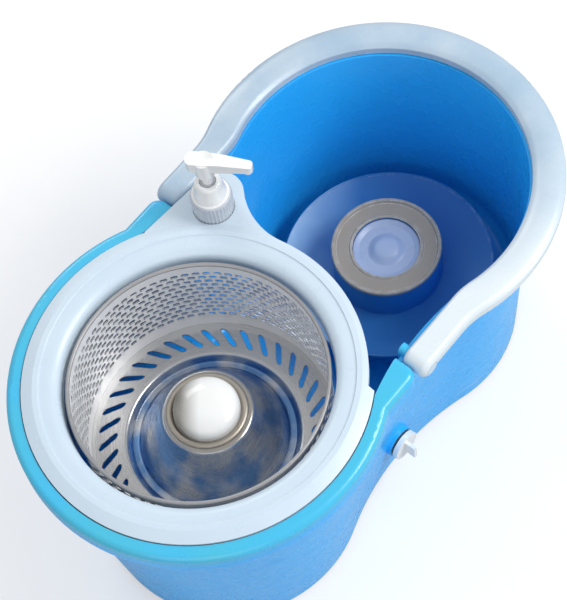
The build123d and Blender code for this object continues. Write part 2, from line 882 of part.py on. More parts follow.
def make_wash_dish():
    """Shallow dish with a half-round edge and a short skirt, on which the grey ring stands."""
    flat_radius = wash_radius + dish_shoulder
    edge_round = dish_sheet / 2
    under_edge = (dish_radius - dish_sheet, dish_top - dish_sheet)
    lip_outer = (dish_radius, dish_top - edge_round)
    lip_crest = (dish_radius - edge_round, dish_top)
    lip_inner = (dish_radius - dish_sheet, dish_top - edge_round)
    outline = [
        Line((dish_hole_radius, dish_underside), (flat_radius, dish_underside)),
        TangentArc((flat_radius, dish_underside), under_edge, tangent=(1, 0)),
        Polyline(
            under_edge,
            (dish_radius - dish_sheet, dish_top - dish_skirt),
            (dish_radius, dish_top - dish_skirt),
            lip_outer,
        ),
        ThreePointArc(lip_outer, lip_crest, lip_inner),
        TangentArc((flat_radius, dish_floor), lip_inner, tangent=(1, 0)),
        Polyline(
            (flat_radius, dish_floor),
            (dish_hole_radius, dish_floor),
            (dish_hole_radius, dish_underside),
        ),
    ]
    dish = turned(outline, tub_x)
    hole = dish_screw_radius + dish_screw_play
    for x, y in dish_screw_points():
        dish -= cylinder(hole, dish_underside - overlap, dish_floor + overlap, x, y)
    return dish


def make_dish_screws():
    screws = []
    for x, y in dish_screw_points():
        shank = cylinder(dish_screw_radius, dish_underside, dish_floor + dish_screw_bite, x, y)
        head = cylinder(dish_screw_head_radius, dish_underside - dish_screw_head, dish_underside, x, y)
        screws.append(shank + head)
    return screws


def make_wash_cap():
    low = wash_well_floor
    top = low + wash_cap_rise
    outer = wash_well_radius - wash_cap_gap
    dome = wash_cap_dome
    foot = (dome + wash_cap_foot, low + wash_cap_wall)
    hollow = dome - wash_cap_wall
    crown_points = [foot, (dome - wash_cap_shoulder, top - wash_cap_shoulder_drop), (0, top)]
    crown = Spline(crown_points, tangents=[(-1, 0.4), (-1, 0)])
    rest = Polyline(
        (0, top),
        (0, top - wash_cap_wall),
        (hollow - wash_cap_hollow, top - wash_cap_wall - wash_cap_hollow_drop),
        (hollow - wash_cap_hollow_foot, low + wash_cap_hollow_foot),
        (hollow, low),
        (outer, low),
        (outer, low + wash_cap_edge),
        (outer - wash_cap_edge_flat, low + wash_cap_edge),
        (outer - wash_cap_edge_slope, low + wash_cap_wall),
        foot,
    )
    return turned([crown, rest], tub_x)


def make_handle_bail():
    arms = beyond(pivot_x)
    plan = loop_plan(handle_outer_radius, arm_outer) - loop_plan(handle_inner_radius, arm_inner)
    bail = flat(plan & arms, handle_bottom, handle_top)
    edges = [edge for edge in bail.edges().group_by(Axis.Z)[-1] if edge.center().X > pivot_x + overlap]
    bail = fillet(edges, handle_round)
    channel = loop_plan(handle_outer_radius - handle_wall, arm_outer - handle_wall)
    channel -= loop_plan(handle_inner_radius + handle_wall, arm_inner + handle_wall)
    channel = channel & beyond(pivot_x + eye_radius + arm_solid)
    bail -= flat(channel, handle_bottom - overlap, handle_top - handle_roof)
    pocket_radius = pin_head_radius + pin_recess_gap
    for side in (1, -1):
        inner, outer, pocket = side * arm_inner, side * arm_outer, side * (arm_outer - pin_recess)
        eye = cylinder_along_y(eye_radius, inner, outer, pivot_x, pivot_z)
        bail += fillet(eye.edges().filter_by(GeomType.CIRCLE), handle_round)
        bail -= cylinder_along_y(pin_radius + running_fit, inner - side, outer + side, pivot_x, pivot_z)
        bail -= cylinder_along_y(pocket_radius, pocket, outer + side, pivot_x, pivot_z)
    return bail


def make_handle_pins():
    pins = []
    for side in (1, -1):
        shoulder = side * (arm_outer - pin_recess + side_play)
        shank = cylinder_along_y(pin_radius, side * lug_inner, shoulder, pivot_x, pivot_z)
        head = cylinder_along_y(pin_head_radius, shoulder, shoulder + side * pin_head, pivot_x, pivot_z)
        pins.append(shank + head)
    return pins


def make_soap_bottle():
    low = bottle_top - bottle_length
    outer = [
        (0, low),
        (bottle_radius - bottle_chamfer, low),
        (bottle_radius, low + bottle_chamfer),
        (bottle_radius, bottle_top),
        (neck_radius, bottle_top),
        (neck_radius, neck_top),
        (0, neck_top),
    ]
    inside = bottle_radius - bottle_wall
    inner = [
        (0, low + bottle_wall),
        (inside - bottle_chamfer, low + bottle_wall),
        (inside, low + bottle_wall + bottle_chamfer),
        (inside, bottle_top - bottle_wall - bottle_shoulder),
        (neck_bore, bottle_top - bottle_wall),
        (neck_bore, neck_top + overlap),
        (0, neck_top + overlap),
    ]
    return turned(outer, pump_x, pump_y) - turned(inner, pump_x, pump_y)


def make_pump_collar():
    bore = neck_radius + collar_clearance
    sleeve_hole = sleeve_radius + collar_clearance
    hollow = collar_radius - collar_wall
    dome_hollow = collar_step_radius - collar_wall
    step_under = collar_skirt_top - collar_wall
    shoulder = (
        collar_step_radius * collar_dome_share,
        collar_skirt_top + collar_dome * collar_dome_rise,
    )
    dome_points = [(collar_step_radius, collar_skirt_top), shoulder, (collar_top_radius, collar_top)]
    dome = Spline(dome_points, tangents=[(0, 1), (-1, 0.6)])
    rest = Polyline(
        (collar_top_radius, collar_top),
        (sleeve_hole, collar_top),
        (sleeve_hole, collar_top - collar_roof),
        (dome_hollow, collar_skirt_top),
        (dome_hollow, step_under),
        (hollow, step_under - collar_wall),
        (hollow, sleeve_base + collar_web + collar_wall),
        (sleeve_hole, sleeve_base + collar_web),
        (sleeve_hole, sleeve_base),
        (bore, sleeve_base),
        (bore, cup_seat),
        (collar_radius, cup_seat),
        (collar_radius, collar_skirt_top - collar_edge),
        (collar_radius - collar_edge, collar_skirt_top),
        (collar_step_radius, collar_skirt_top),
    )
    return turned([dome, rest], pump_x, pump_y)


def make_pump_cylinder():
    profile = [
        (tube_radius, ball_seat - tube_socket),
        (socket_radius, ball_seat - tube_socket),
        (cylinder_radius, ball_seat),
        (cylinder_radius, gasket_top),
        (gasket_radius, gasket_top),
        (gasket_radius, sleeve_base),
        (sleeve_radius, sleeve_base),
        (sleeve_radius, collar_top + sleeve_above),
        (stem_radius + running_fit, collar_top + sleeve_above),
        (stem_radius + running_fit, gasket_top - piston_stop),
        (chamber_radius, gasket_top - piston_stop),
        (chamber_radius, chamber_base),
        (ball_radius + ball_play, chamber_base),
        (ball_radius + ball_play, ball_seat + ball_seat_rise),
        (tube_bore, ball_seat),
        (tube_radius, ball_seat),
    ]
    return turned(profile, pump_x, pump_y)


def make_pump_spring():
    wire_low = chamber_base + spring_wire
    rise = piston_base - spring_wire - wire_low
    path = Pos(pump_x, pump_y, wire_low) * Helix(rise / spring_turns, rise, spring_radius)
    start = Plane(origin=path @ 0, z_dir=path % 0)
    return sweep(start * RegularPolygon(spring_wire, 6), path, is_frenet=True)


def make_check_ball():
    seat_run = ball_radius + ball_play - tube_bore
    slant = hypot(ball_seat_rise, seat_run)
    rise = (ball_radius * slant - tube_bore * ball_seat_rise) / seat_run
    return Pos(pump_x, pump_y, ball_seat + rise) * Sphere(ball_radius)


def make_dip_tube():
    low = bottle_top - bottle_length + bottle_wall + tube_clearance
    return tube(tube_radius, tube_bore, low, ball_seat, pump_x, pump_y)


def make_pump_stem():
    stem = cylinder(stem_radius, piston_base, stem_top, pump_x, pump_y)
    stem += cylinder(chamber_radius - running_fit, piston_base, piston_top, pump_x, pump_y)
    return stem - cylinder(stem_bore, piston_base - overlap, stem_top + overlap, pump_x, pump_y)


def make_pump_head():
    side = nozzle_width / 2
    tip = nozzle_tip_width / 2
    bend_x = nozzle_reach / 3
    bar = make_face(
        Polyline(
            (-nozzle_tail, -side),
            (0, -side),
            (nozzle_reach, -tip),
            (nozzle_reach, tip),
            (0, side),
            (-nozzle_tail, side),
            close=True,
        )
    )
    bar = fillet(bar.vertices().sort_by(Axis.X)[:2], side * nozzle_tail_round)
    bar = fillet(bar.vertices().sort_by(Axis.X)[-2:], tip * nozzle_tip_round)
    head = flat(bar, head_top - nozzle_height, head_top)
    above = make_face(
        Polyline(
            (bend_x, head_top),
            (nozzle_reach + overlap, head_top - nozzle_drop),
            (nozzle_reach + overlap, head_top + overlap),
            (bend_x, head_top + overlap),
            close=True,
        )
    )
    head -= extrude(Plane.XZ * above, nozzle_width, both=True)
    head += cylinder(head_radius, head_bottom, head_top - overlap)
    lip_x = nozzle_reach - tip - nozzle_lip_inset
    lip_top = head_top - nozzle_height + overlap
    head += cylinder(tip * nozzle_lip_share, lip_top - nozzle_lip, lip_top, lip_x)
    head -= cylinder(stem_radius + running_fit, head_bottom - overlap, stem_top)
    head -= Pos(0, 0, head_top + dimple_radius - dimple_depth) * Sphere(dimple_radius)
    return Pos(pump_x, pump_y, 0) * Rot(0, 0, nozzle_heading) * head


def make_drain_plug():
    plug_end = drain_plug_length - drain_seat_y
    plug = cylinder_along_y(drain_bore - drain_fit, -drain_seat_y, plug_end, drain_x, drain_z)
    face = drain_seat_y + drain_head
    plug += cylinder_along_y(drain_head_radius, -face, -drain_seat_y, drain_x, drain_z)
    plug += block(
        (drain_x - drain_tab_width / 2, drain_x + drain_tab_width / 2),
        (overlap - face, -face - drain_tab_length),
        (drain_z - drain_tab_height / 2, drain_z + drain_tab_height / 2),
    )
    return plug


def make_drain_seal():
    outer = cylinder_along_y(drain_seal_radius, -drain_seat_y, -drain_face_y, drain_x, drain_z)
    bore_ends = (-drain_seat_y - overlap, overlap - drain_face_y)
    return outer - cylinder_along_y(drain_bore - drain_fit, *bore_ends, drain_x, drain_z)


def make_rubber_feet():
    feet = []
    for x, y in foot_points():
        stud = cylinder(foot_stud_radius, foot_height, foot_height + foot_stud, x, y)
        feet.append(cylinder(foot_radius, 0, foot_height, x, y) + stud)
    return feet


spindle_bore = spindle_radius + running_fit
wash_spindle_bore = wash_spindle_radius + running_fit
pieces = {
    "bucket_body": make_bucket_body(),
    "ring_cover": make_ring_cover(),
    "basket_drum": make_basket_drum(),
    "spin_basket": make_spin_basket(),
    "hub_cap": make_hub_cap(),
    "hub_washer": make_hub_washer(),
    "lower_hub": make_lower_hub(),
    "hub_screws": make_hub_screws(),
    "hub_bush": tube(bush_radius, spindle_bore, lower_hub_bottom, seat_top, basket_x),
    "basket_spindle": make_spindle(
        basket_x,
        spindle_radius,
        pillar_top - spindle_seat,
        spindle_clip_base,
        spindle_clip_base + spindle_tip,
    ),
    "spindle_clip": make_clip(basket_x, spindle_radius, spindle_clip_base),
    "spindle_pillar": make_pillar(basket_centre, pillar_top, spindle_seat, spindle_radius),
    "thrust_washer": tube(pillar_top_radius, spindle_bore, pillar_top, lower_hub_bottom, basket_x),
    "pillar_screws": make_pillar_screws(),
    "wash_plate": make_wash_plate(),
    "wash_dish": make_wash_dish(),
    "dish_screws": make_dish_screws(),
    "wash_cap": make_wash_cap(),
    "wash_bush": tube(wash_bush_radius, wash_spindle_bore, wash_hub_bottom, wash_well_floor, tub_x),
    "wash_spindle": make_spindle(
        tub_x,
        wash_spindle_radius,
        wash_pillar_top - wash_spindle_seat,
        wash_clip_base,
        wash_clip_base + wash_spindle_tip,
    ),
    "wash_clip": make_clip(tub_x, wash_spindle_radius, wash_clip_base),
    "wash_pillar": make_pillar(tub_centre, wash_pillar_top, wash_spindle_seat, wash_spindle_radius),
    "wash_thrust_washer": tube(wash_hub_radius, wash_spindle_bore, wash_pillar_top, wash_hub_bottom, tub_x),
    "handle_bail": make_handle_bail(),
    "handle_pins": make_handle_pins(),
    "soap_bottle": make_soap_bottle(),
    "bottle_gasket": tube(gasket_radius, cylinder_radius, neck_top, gasket_top, pump_x, pump_y),
    "pump_collar": make_pump_collar(),
    "pump_cylinder": make_pump_cylinder(),
    "pump_spring": make_pump_spring(),
    "check_ball": make_check_ball(),
    "dip_tube": make_dip_tube(),
    "pump_stem": make_pump_stem(),
    "pump_head": make_pump_head(),
    "drain_plug": make_drain_plug(),
    "drain_seal": make_drain_seal(),
    "rubber_feet": make_rubber_feet(),
}

os.makedirs("parts", exist_ok=True)
for name, piece in pieces.items():
    shape = Compound(children=piece) if isinstance(piece, list) else piece
    export_step(shape, f"parts/{name}.step")
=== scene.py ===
# %% [markdown]
# # A spin bucket, dressed for its picture
# The bucket was drawn as solids first: the pail, the cover, the basket, the handle and the pump.
# This file puts finishes on those solids, swaps three of them for finer meshes, adds grip ribs to
# the pump and lights the set. The solids come in at their real size and place, in metres, and stay there.

# %% Load the solids
import json
from math import cos, pi, radians, sin, sqrt, tan

import bmesh
import bpy
from mathutils import Matrix, Vector


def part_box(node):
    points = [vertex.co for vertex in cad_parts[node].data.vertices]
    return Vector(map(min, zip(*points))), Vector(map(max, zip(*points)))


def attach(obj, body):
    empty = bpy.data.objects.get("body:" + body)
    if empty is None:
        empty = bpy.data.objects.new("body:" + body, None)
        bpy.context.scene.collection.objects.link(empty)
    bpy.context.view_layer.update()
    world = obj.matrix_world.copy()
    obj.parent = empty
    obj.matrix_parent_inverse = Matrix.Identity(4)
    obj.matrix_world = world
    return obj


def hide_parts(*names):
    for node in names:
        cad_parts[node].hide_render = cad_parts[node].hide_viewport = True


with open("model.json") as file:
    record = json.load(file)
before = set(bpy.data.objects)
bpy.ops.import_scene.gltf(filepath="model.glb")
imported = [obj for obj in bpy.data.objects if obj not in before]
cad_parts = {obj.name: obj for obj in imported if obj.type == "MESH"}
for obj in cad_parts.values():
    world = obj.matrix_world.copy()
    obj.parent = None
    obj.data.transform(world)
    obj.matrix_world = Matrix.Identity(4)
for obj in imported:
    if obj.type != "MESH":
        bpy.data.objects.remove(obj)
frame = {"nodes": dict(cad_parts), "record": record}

scene = bpy.context.scene
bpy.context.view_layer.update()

# %% [markdown]
# ## The camera
# The picture looks down into the bucket from the basket end, with the long side running up to the right.
# A camera can be aimed with a Track To constraint, but the picture is also tilted a little, which a
# constraint can't say. So its three directions are written out as the columns of a matrix.
# The long lens keeps the far lobe nearly as large as the near one.

# %% Camera at the picture's viewing angle
camera_right = Vector((0.6301, -0.7705, -0.0961))
camera_up = Vector((0.7120, 0.5239, 0.4675))
camera_place = Vector((-0.4679, -0.5350, 1.4866))
camera_back = camera_right.cross(camera_up).normalized()

camera_data = bpy.data.cameras.new("picture_camera")
camera_data.sensor_width = 36.0
camera_data.lens = 120.0
camera = bpy.data.objects.new("picture_camera", camera_data)
scene.collection.objects.link(camera)
columns = (camera_right, camera_up, camera_back, camera_place)
camera.matrix_world = Matrix([[column[row] for column in columns] for row in range(3)] + [[0, 0, 0, 1]])
scene.camera = camera
print("camera", [round(value, 3) for value in camera.matrix_world.translation])

# %% [markdown]
# ## Floor and studio light
# A product picture like this one stands on white paper under large soft lights. The floor is one
# wide sheet. Each light is an area light, since a large source gives soft shadows and long clean
# highlights on curved plastic. The key light stands on the right, where the rim shines in the picture.

# %% Floor and lights
floor_half = 3.0
floor_mesh = bpy.data.meshes.new("studio_floor")
floor_corners = [(x * floor_half, y * floor_half, 0) for x, y in ((-1, -1), (1, -1), (1, 1), (-1, 1))]
floor_mesh.from_pydata(floor_corners, [], [(0, 1, 2, 3)])
studio_floor = bpy.data.objects.new("studio_floor", floor_mesh)
scene.collection.objects.link(studio_floor)


def area_light(name, stand, target, size, power, shade):
    """Square soft light on its stand, turned to face a target."""
    data = bpy.data.lights.new(name, "AREA")
    data.shape = "SQUARE"
    data.size = size
    data.energy = power
    data.color = shade
    light = bpy.data.objects.new(name, data)
    scene.collection.objects.link(light)
    light.location = stand
    light.rotation_euler = (Vector(target) - Vector(stand)).to_track_quat("-Z", "Y").to_euler()


middle = (0.0, 0.0, 0.12)
area_light("key_light", (0.9, -1.1, 1.5), middle, size=0.9, power=28.0, shade=(1.0, 0.99, 0.97))
area_light("fill_light", (-1.3, -0.9, 0.9), middle, size=1.4, power=7.0, shade=(0.96, 0.98, 1.0))
area_light("back_light", (0.5, 1.4, 1.2), middle, size=0.8, power=8.0, shade=(1.0, 1.0, 1.0))

room_light = 0.62
world = bpy.data.worlds.new("white_room")
scene.world = world
world.use_nodes = True
background = world.node_tree.nodes["Background"]
background.inputs["Color"].default_value = (0.97, 0.98, 1.0, 1.0)
background.inputs["Strength"].default_value = room_light
scene.view_settings.view_transform = "Standard"

# %% [markdown]
# ## Helpers for shader nodes
# A material is a small graph. A few helpers keep the graphs short: one fills or links the inputs of
# a node, one places a node, and one opens a node group with named sockets. A group is a skin or a
# mask that any material can take, each with its own values.

# %% Node helpers
number = "NodeSocketFloat"
colour = "NodeSocketColor"
direction = "NodeSocketVector"


def fill(tree, node, inputs):
    """Give each named input of a node a value or a link."""
    for name, value in inputs.items():
        if isinstance(value, bpy.types.NodeSocket):
            tree.links.new(value, node.inputs[name])
        else:
            node.inputs[name].default_value = value


def place(tree, kind, inputs, **settings):
    """Add a node, set its options, fill its inputs and hand out its outputs."""
    node = tree.nodes.new(kind)
    for name, value in settings.items():
        setattr(node, name, value)
    fill(tree, node, inputs)
    return node.outputs


def open_group(title, takes, gives):
    """Start a node group: its tree, what it takes, and the node that gives its results."""
    tree = bpy.data.node_groups.new(title, "ShaderNodeTree")
    for name, kind in takes:
        tree.interface.new_socket(name=name, in_out="INPUT", socket_type=kind)
    for name, kind in gives:
        tree.interface.new_socket(name=name, in_out="OUTPUT", socket_type=kind)
    return tree, tree.nodes.new("NodeGroupInput").outputs, tree.nodes.new("NodeGroupOutput")


print("socket kinds", number, colour, direction)

# %% [markdown]
# ## Helpers for masks
# Most masks here are ramps and soft noise, multiplied. Each of these helpers places a few nodes and
# hands out the sockets that the next one needs. The noise is read in the piece's own metres, so it
# stays put when the piece moves.

# %% Mask helpers
rising = (0.0, 1.0)
falling = (1.0, 0.0)

# A Mix node numbers its colour sockets after those of its other kinds.
mix_share = 0
mix_first = 6
mix_second = 7
mix_result = 2


def own_place(tree):
    """Place on the piece in its own metres."""
    return place(tree, "ShaderNodeTexCoord", {})["Object"]


def height_of(tree, spot):
    """Height of a spot."""
    return place(tree, "ShaderNodeSeparateXYZ", {0: spot})["Z"]


def noise(tree, spot, scale, detail):
    """Cloudy noise."""
    return place(tree, "ShaderNodeTexNoise", {"Vector": spot, "Scale": scale, "Detail": detail})[0]


def spread(tree, value, span, shares=rising):
    """Stretch a value from a span to shares, and hold it at the ends."""
    ends = {"From Min": span[0], "From Max": span[1], "To Min": shares[0], "To Max": shares[1]}
    return place(tree, "ShaderNodeMapRange", {"Value": value, **ends})[0]


def patches(tree, spot, scale, detail, span, shares=rising):
    """Cloudy noise, stretched from a span of its values to shares."""
    return spread(tree, noise(tree, spot, scale, detail), span, shares)


def tint(tree, share, first, second):
    """Mix two colours by a share."""
    inputs = {mix_share: share, mix_first: first, mix_second: second}
    return place(tree, "ShaderNodeMix", inputs, data_type="RGBA")[mix_result]


def times(tree, product, *others):
    """Product of two or more values."""
    for other in others:
        product = place(tree, "ShaderNodeMath", {0: product, 1: other}, operation="MULTIPLY")[0]
    return product


def plus(tree, first, second):
    """Sum of two values."""
    return place(tree, "ShaderNodeMath", {0: first, 1: second}, operation="ADD")[0]


def vectors(tree, operation, *operands):
    """Arithmetic on one or two vectors."""
    return place(tree, "ShaderNodeVectorMath", dict(enumerate(operands)), operation=operation)


def way_out(tree, spot, axis):
    """Level way out from an upright axis to a spot, and the height of the spot."""
    offset = vectors(tree, "SUBTRACT", spot, axis)[0]
    across, along, height = place(tree, "ShaderNodeSeparateXYZ", {0: offset})
    return place(tree, "ShaderNodeCombineXYZ", {0: across, 1: along})[0], height


def from_axis(tree, spot, axis):
    """Distance of a spot from an upright axis, and its height."""
    outward, height = way_out(tree, spot, axis)
    return vectors(tree, "LENGTH", outward)["Value"], height


print("a ramp rises over", rising, "and falls over", falling)

# %% [markdown]
# ## Moulded skin
# Moulded plastic is never quite even. The melt leaves faint clouds of tone, and the tool's polish
# leaves a very fine ripple. A painted texture would need an unwrapped surface. Noise in the piece's
# own coordinates needs none.

# %% Node group: moulded skin
moulded_skin, taken, given = open_group(
    "moulded_skin",
    [
        ("Colour", colour),
        ("Cloud Colour", colour),
        ("Cloud Share", number),
        ("Polish", number),
        ("Ripple Scale", number),
    ],
    [("Colour", colour), ("Roughness", number), ("Height", number)],
)
own = own_place(moulded_skin)
clouds = patches(moulded_skin, own, scale=14.0, detail=3.0, span=(0.35, 0.7))
cloud_share = times(moulded_skin, clouds, taken["Cloud Share"])
smears = patches(moulded_skin, own, scale=55.0, detail=4.0, span=(0.3, 0.75), shares=(-0.05, 0.09))
results = {
    "Colour": tint(moulded_skin, cloud_share, taken["Colour"], taken["Cloud Colour"]),
    "Roughness": plus(moulded_skin, smears, taken["Polish"]),
    "Height": noise(moulded_skin, own, taken["Ripple Scale"], detail=2.0),
}
fill(moulded_skin, given, results)
print("group", moulded_skin.name)

# %% [markdown]
# ## Edge wear, painted edge highlight and shade
# Hands and floors rub the edges of a pail paler. On the wash ring the same paler edge is a painted
# highlight. The Bevel node sees rounded normals near an edge, so where they differ from the true ones
# there is an edge. That works on any mesh, while the Pointiness output needs many evenly spaced
# vertices, which solids like these don't have. On the steel the same mask paints shade on the rims of
# the holes.

# %% Node group: edge wear and painted edge light and shade
edge_wear_and_painted_light, taken, given = open_group(
    "edge_wear_and_painted_light", [("Width", number), ("Strength", number)], [("Mask", number)]
)
own = own_place(edge_wear_and_painted_light)
rounded = place(edge_wear_and_painted_light, "ShaderNodeBevel", {"Radius": taken["Width"]}, samples=4)[0]
plain = place(edge_wear_and_painted_light, "ShaderNodeNewGeometry", {})["Normal"]
likeness = vectors(edge_wear_and_painted_light, "DOT_PRODUCT", rounded, plain)["Value"]
edge = spread(edge_wear_and_painted_light, likeness, span=(0.995, 0.85))
broken = patches(edge_wear_and_painted_light, own, scale=160.0, detail=5.0, span=(0.4, 0.65), shares=(0.15, 1.0))
fill(edge_wear_and_painted_light, given, {"Mask": times(edge_wear_and_painted_light, edge, broken, taken["Strength"])})
print("group", edge_wear_and_painted_light.name)

# %% [markdown]
# ## Lathe lines
# Spun and rolled steel carries fine lines that run round the axis it was turned on. They come from
# noise that is stretched along the circle: it reads only the distance from the axis and the height,
# so it can't change on the way round. A second noise lets the lines fade in and out.

# %% Node group: lathe lines
lathe_lines, taken, given = open_group(
    "lathe_lines",
    [
        ("Axis Place", direction),
        ("Colour", colour),
        ("Line Colour", colour),
        ("Polish", number),
        ("Line Scale", number),
    ],
    [("Colour", colour), ("Roughness", number), ("Height", number)],
)
own = own_place(lathe_lines)
distance, height = from_axis(lathe_lines, own, taken["Axis Place"])
around_axis = place(lathe_lines, "ShaderNodeCombineXYZ", {0: distance, 1: height})[0]
lines = patches(lathe_lines, around_axis, taken["Line Scale"], detail=3.0, span=(0.35, 0.7))
fade = patches(lathe_lines, own, scale=30.0, detail=3.0, span=(0.35, 0.65), shares=(0.35, 1.0))
line_share = times(lathe_lines, lines, fade)
line_polish = spread(lathe_lines, line_share, rising, shares=(-0.04, 0.08))
results = {
    "Colour": tint(lathe_lines, line_share, taken["Colour"], taken["Line Colour"]),
    "Roughness": plus(lathe_lines, line_polish, taken["Polish"]),
    "Height": line_share,
}
fill(lathe_lines, given, results)
print("group", lathe_lines.name)

# %% [markdown]
# ## Floor scuffs
# The lowest part of a pail is pushed along the floor, so it gathers pale scuffs that thin out
# upward. The mask is noise, drawn out sideways and faded out with height.

# %% Node group: floor scuffs
streak_scale = (26.0, 26.0, 240.0)
floor_scuffs, taken, given = open_group(
    "floor_scuffs", [("Reach", number), ("Strength", number)], [("Mask", number)]
)
own = own_place(floor_scuffs)
drawn_out = place(floor_scuffs, "ShaderNodeMapping", {"Vector": own, "Scale": streak_scale})[0]
streaks = patches(floor_scuffs, drawn_out, scale=1.0, detail=6.0, span=(0.56, 0.7))
low_down = spread(floor_scuffs, height_of(floor_scuffs, own), (0.0, taken["Reach"]), falling)
fill(floor_scuffs, given, {"Mask": times(floor_scuffs, streaks, low_down, taken["Strength"])})
print("group", floor_scuffs.name)

# %% [markdown]
# ## Water marks and painted reflection
# Water is spun off in the basket and dries on the steel below, which leaves cloudy marks. Their blue
# is a painted reflection of the blue pail in the steel. They gather where the water runs down last: on
# the cone and in the gutter, and hardly on the flat ring outside. So the mask is soft noise, faded in
# below a distance from the axis.

# %% Node group: water marks and painted reflection
marks_and_painted_reflection, taken, given = open_group(
    "marks_and_painted_reflection",
    [("Axis Place", direction), ("Reach", number), ("Fade", number), ("Strength", number)],
    [("Mask", number)],
)
own = own_place(marks_and_painted_reflection)
distance = from_axis(marks_and_painted_reflection, own, taken["Axis Place"])[0]
dry_edge = plus(marks_and_painted_reflection, taken["Reach"], taken["Fade"])
inside = spread(marks_and_painted_reflection, distance, (taken["Reach"], dry_edge), falling)
marks = patches(marks_and_painted_reflection, own, scale=42.0, detail=4.0, span=(0.42, 0.66), shares=(1.0, 0.2))
fill(marks_and_painted_reflection, given, {"Mask": times(marks_and_painted_reflection, inside, marks, taken["Strength"])})
print("group", marks_and_painted_reflection.name)

# %% [markdown]
# ## Two tones
# The wash ring is grey on top and blue below, like a part moulded in two shots. The rolled bead of
# the basket, under the cover's lip, is painted darker than its wall as shade, and the pump's collar is
# painted greyer below its step as shade. Such tones meet in a level line. A ramp of the height makes
# the mask, and a narrow one keeps the line from looking jagged.

# %% Node group: two tones
two_tones, taken, given = open_group(
    "two_tones", [("Clear Height", number), ("Full Height", number)], [("Mask", number)]
)
height = height_of(two_tones, own_place(two_tones))
fill(two_tones, given, {"Mask": spread(two_tones, height, (taken["Clear Height"], taken["Full Height"]))})
print("group", two_tones.name)

# %% [markdown]
# ## Round zone
# The top of the pail's rim is a duller, greener blue than its walls, and the seat of the pan is
# darker round the hub, where its washer sits. Both are zones near the basket's axis, from some height
# up, so two ramps make the mask: one up the height and one by the distance. Soft noise breaks it up.

# %% Node group: round zone
zone_takes = [
    ("Axis Place", direction),
    ("Low", number),
    ("High", number),
    ("Near", number),
    ("Far", number),
]


def zone(tree, taken, spot):
    """Share of a zone that rises from a low to a high level and ends between a near and a far distance."""
    distance, height = from_axis(tree, spot, taken["Axis Place"])
    upward = spread(tree, height, (taken["Low"], taken["High"]))
    inward = spread(tree, distance, (taken["Near"], taken["Far"]), falling)
    return times(tree, upward, inward)


round_zone, taken, given = open_group("round_zone", zone_takes, [("Mask", number)])
own = own_place(round_zone)
uneven = patches(round_zone, own, scale=18.0, detail=3.0, span=(0.3, 0.7), shares=(0.7, 1.0))
fill(round_zone, given, {"Mask": times(round_zone, zone(round_zone, taken, own), uneven)})
print("group", round_zone.name)

# %% [markdown]
# ## Painted shade behind the basket
# The inside of the pail is painted a dark grey shade behind the basket, which shows through the holes
# of the basket. The shade belongs on the faces that look toward the axis. So the mask is a round zone,
# kept to where the normal points against the way out from the axis.

# %% Node group: painted shade behind the basket
painted_basket_shade, taken, given = open_group("painted_basket_shade", zone_takes, [("Mask", number)])
own = own_place(painted_basket_shade)
outward = way_out(painted_basket_shade, own, taken["Axis Place"])[0]
plain = place(painted_basket_shade, "ShaderNodeTexCoord", {})["Normal"]
facing = vectors(painted_basket_shade, "DOT_PRODUCT", plain, outward)["Value"]
inside = spread(painted_basket_shade, facing, span=(-0.02, -0.05))
uneven = patches(painted_basket_shade, own, scale=30.0, detail=4.0, span=(0.3, 0.7), shares=(0.7, 1.0))
fill(painted_basket_shade, given, {"Mask": times(painted_basket_shade, zone(painted_basket_shade, taken, own), inside, uneven)})
print("group", painted_basket_shade.name)

# %% [markdown]
# ## Painted side light
# The dish is painted paler on the side where light falls on it, and the handle and the hub are
# painted darker on one side as shade. Such painted light is a ramp along one heading, broken up with
# soft noise.

# %% Node group: painted side light
painted_side_light, taken, given = open_group(
    "painted_side_light",
    [("Axis Place", direction), ("Heading", direction), ("Start", number), ("End", number)],
    [("Mask", number)],
)
own = own_place(painted_side_light)
outward = way_out(painted_side_light, own, taken["Axis Place"])[0]
along = vectors(painted_side_light, "DOT_PRODUCT", outward, taken["Heading"])["Value"]
ramp = spread(painted_side_light, along, (taken["Start"], taken["End"]))
uneven = patches(painted_side_light, own, scale=24.0, detail=5.0, span=(0.3, 0.7), shares=(0.6, 1.0))
fill(painted_side_light, given, {"Mask": times(painted_side_light, ramp, uneven)})
print("group", painted_side_light.name)

# %% [markdown]
# ## A plastic recipe
# Nearly every plastic on the bucket is the same recipe with its own colours: moulded skin, paler
# edges (rubbed wear, and on the wash ring a painted highlight), a soft ripple in the normal and, on
# the glossy ones, a clear coat. Some pieces add layers: a colour, laid on through the mask of one of
# the groups, and several of these layers are painted light or shade. Values that are even over the
# whole surface, such as the coat, sit on the shader itself.

# %% Plastic recipe
edge_width = 0.0012
ripple_depth = 0.0004
ripple_strength = 0.015
plastic_ior = 1.49
coat_roughness = 0.08


def opaque(red, green, blue):
    """Colour with full cover."""
    return (red, green, blue, 1.0)


def start_material(name):
    """New material with only its surface shader."""
    material = bpy.data.materials.new(name)
    material.use_nodes = True
    tree = material.node_tree
    tree.nodes.clear()
    shader = tree.nodes.new("ShaderNodeBsdfPrincipled")
    output = tree.nodes.new("ShaderNodeOutputMaterial")
    tree.links.new(shader.outputs[0], output.inputs[0])
    return material, tree, shader


def fill_group(tree, group, inputs):
    """Place a node group in a material and fill its inputs."""
    return place(tree, "ShaderNodeGroup", inputs, node_tree=group)


def moulded(tree, base, cloud, share, polish, ripple):
    """Moulded skin in a material."""
    inputs = {"Colour": base, "Cloud Colour": cloud, "Cloud Share": share}
    return fill_group(tree, moulded_skin, {**inputs, "Polish": polish, "Ripple Scale": ripple})


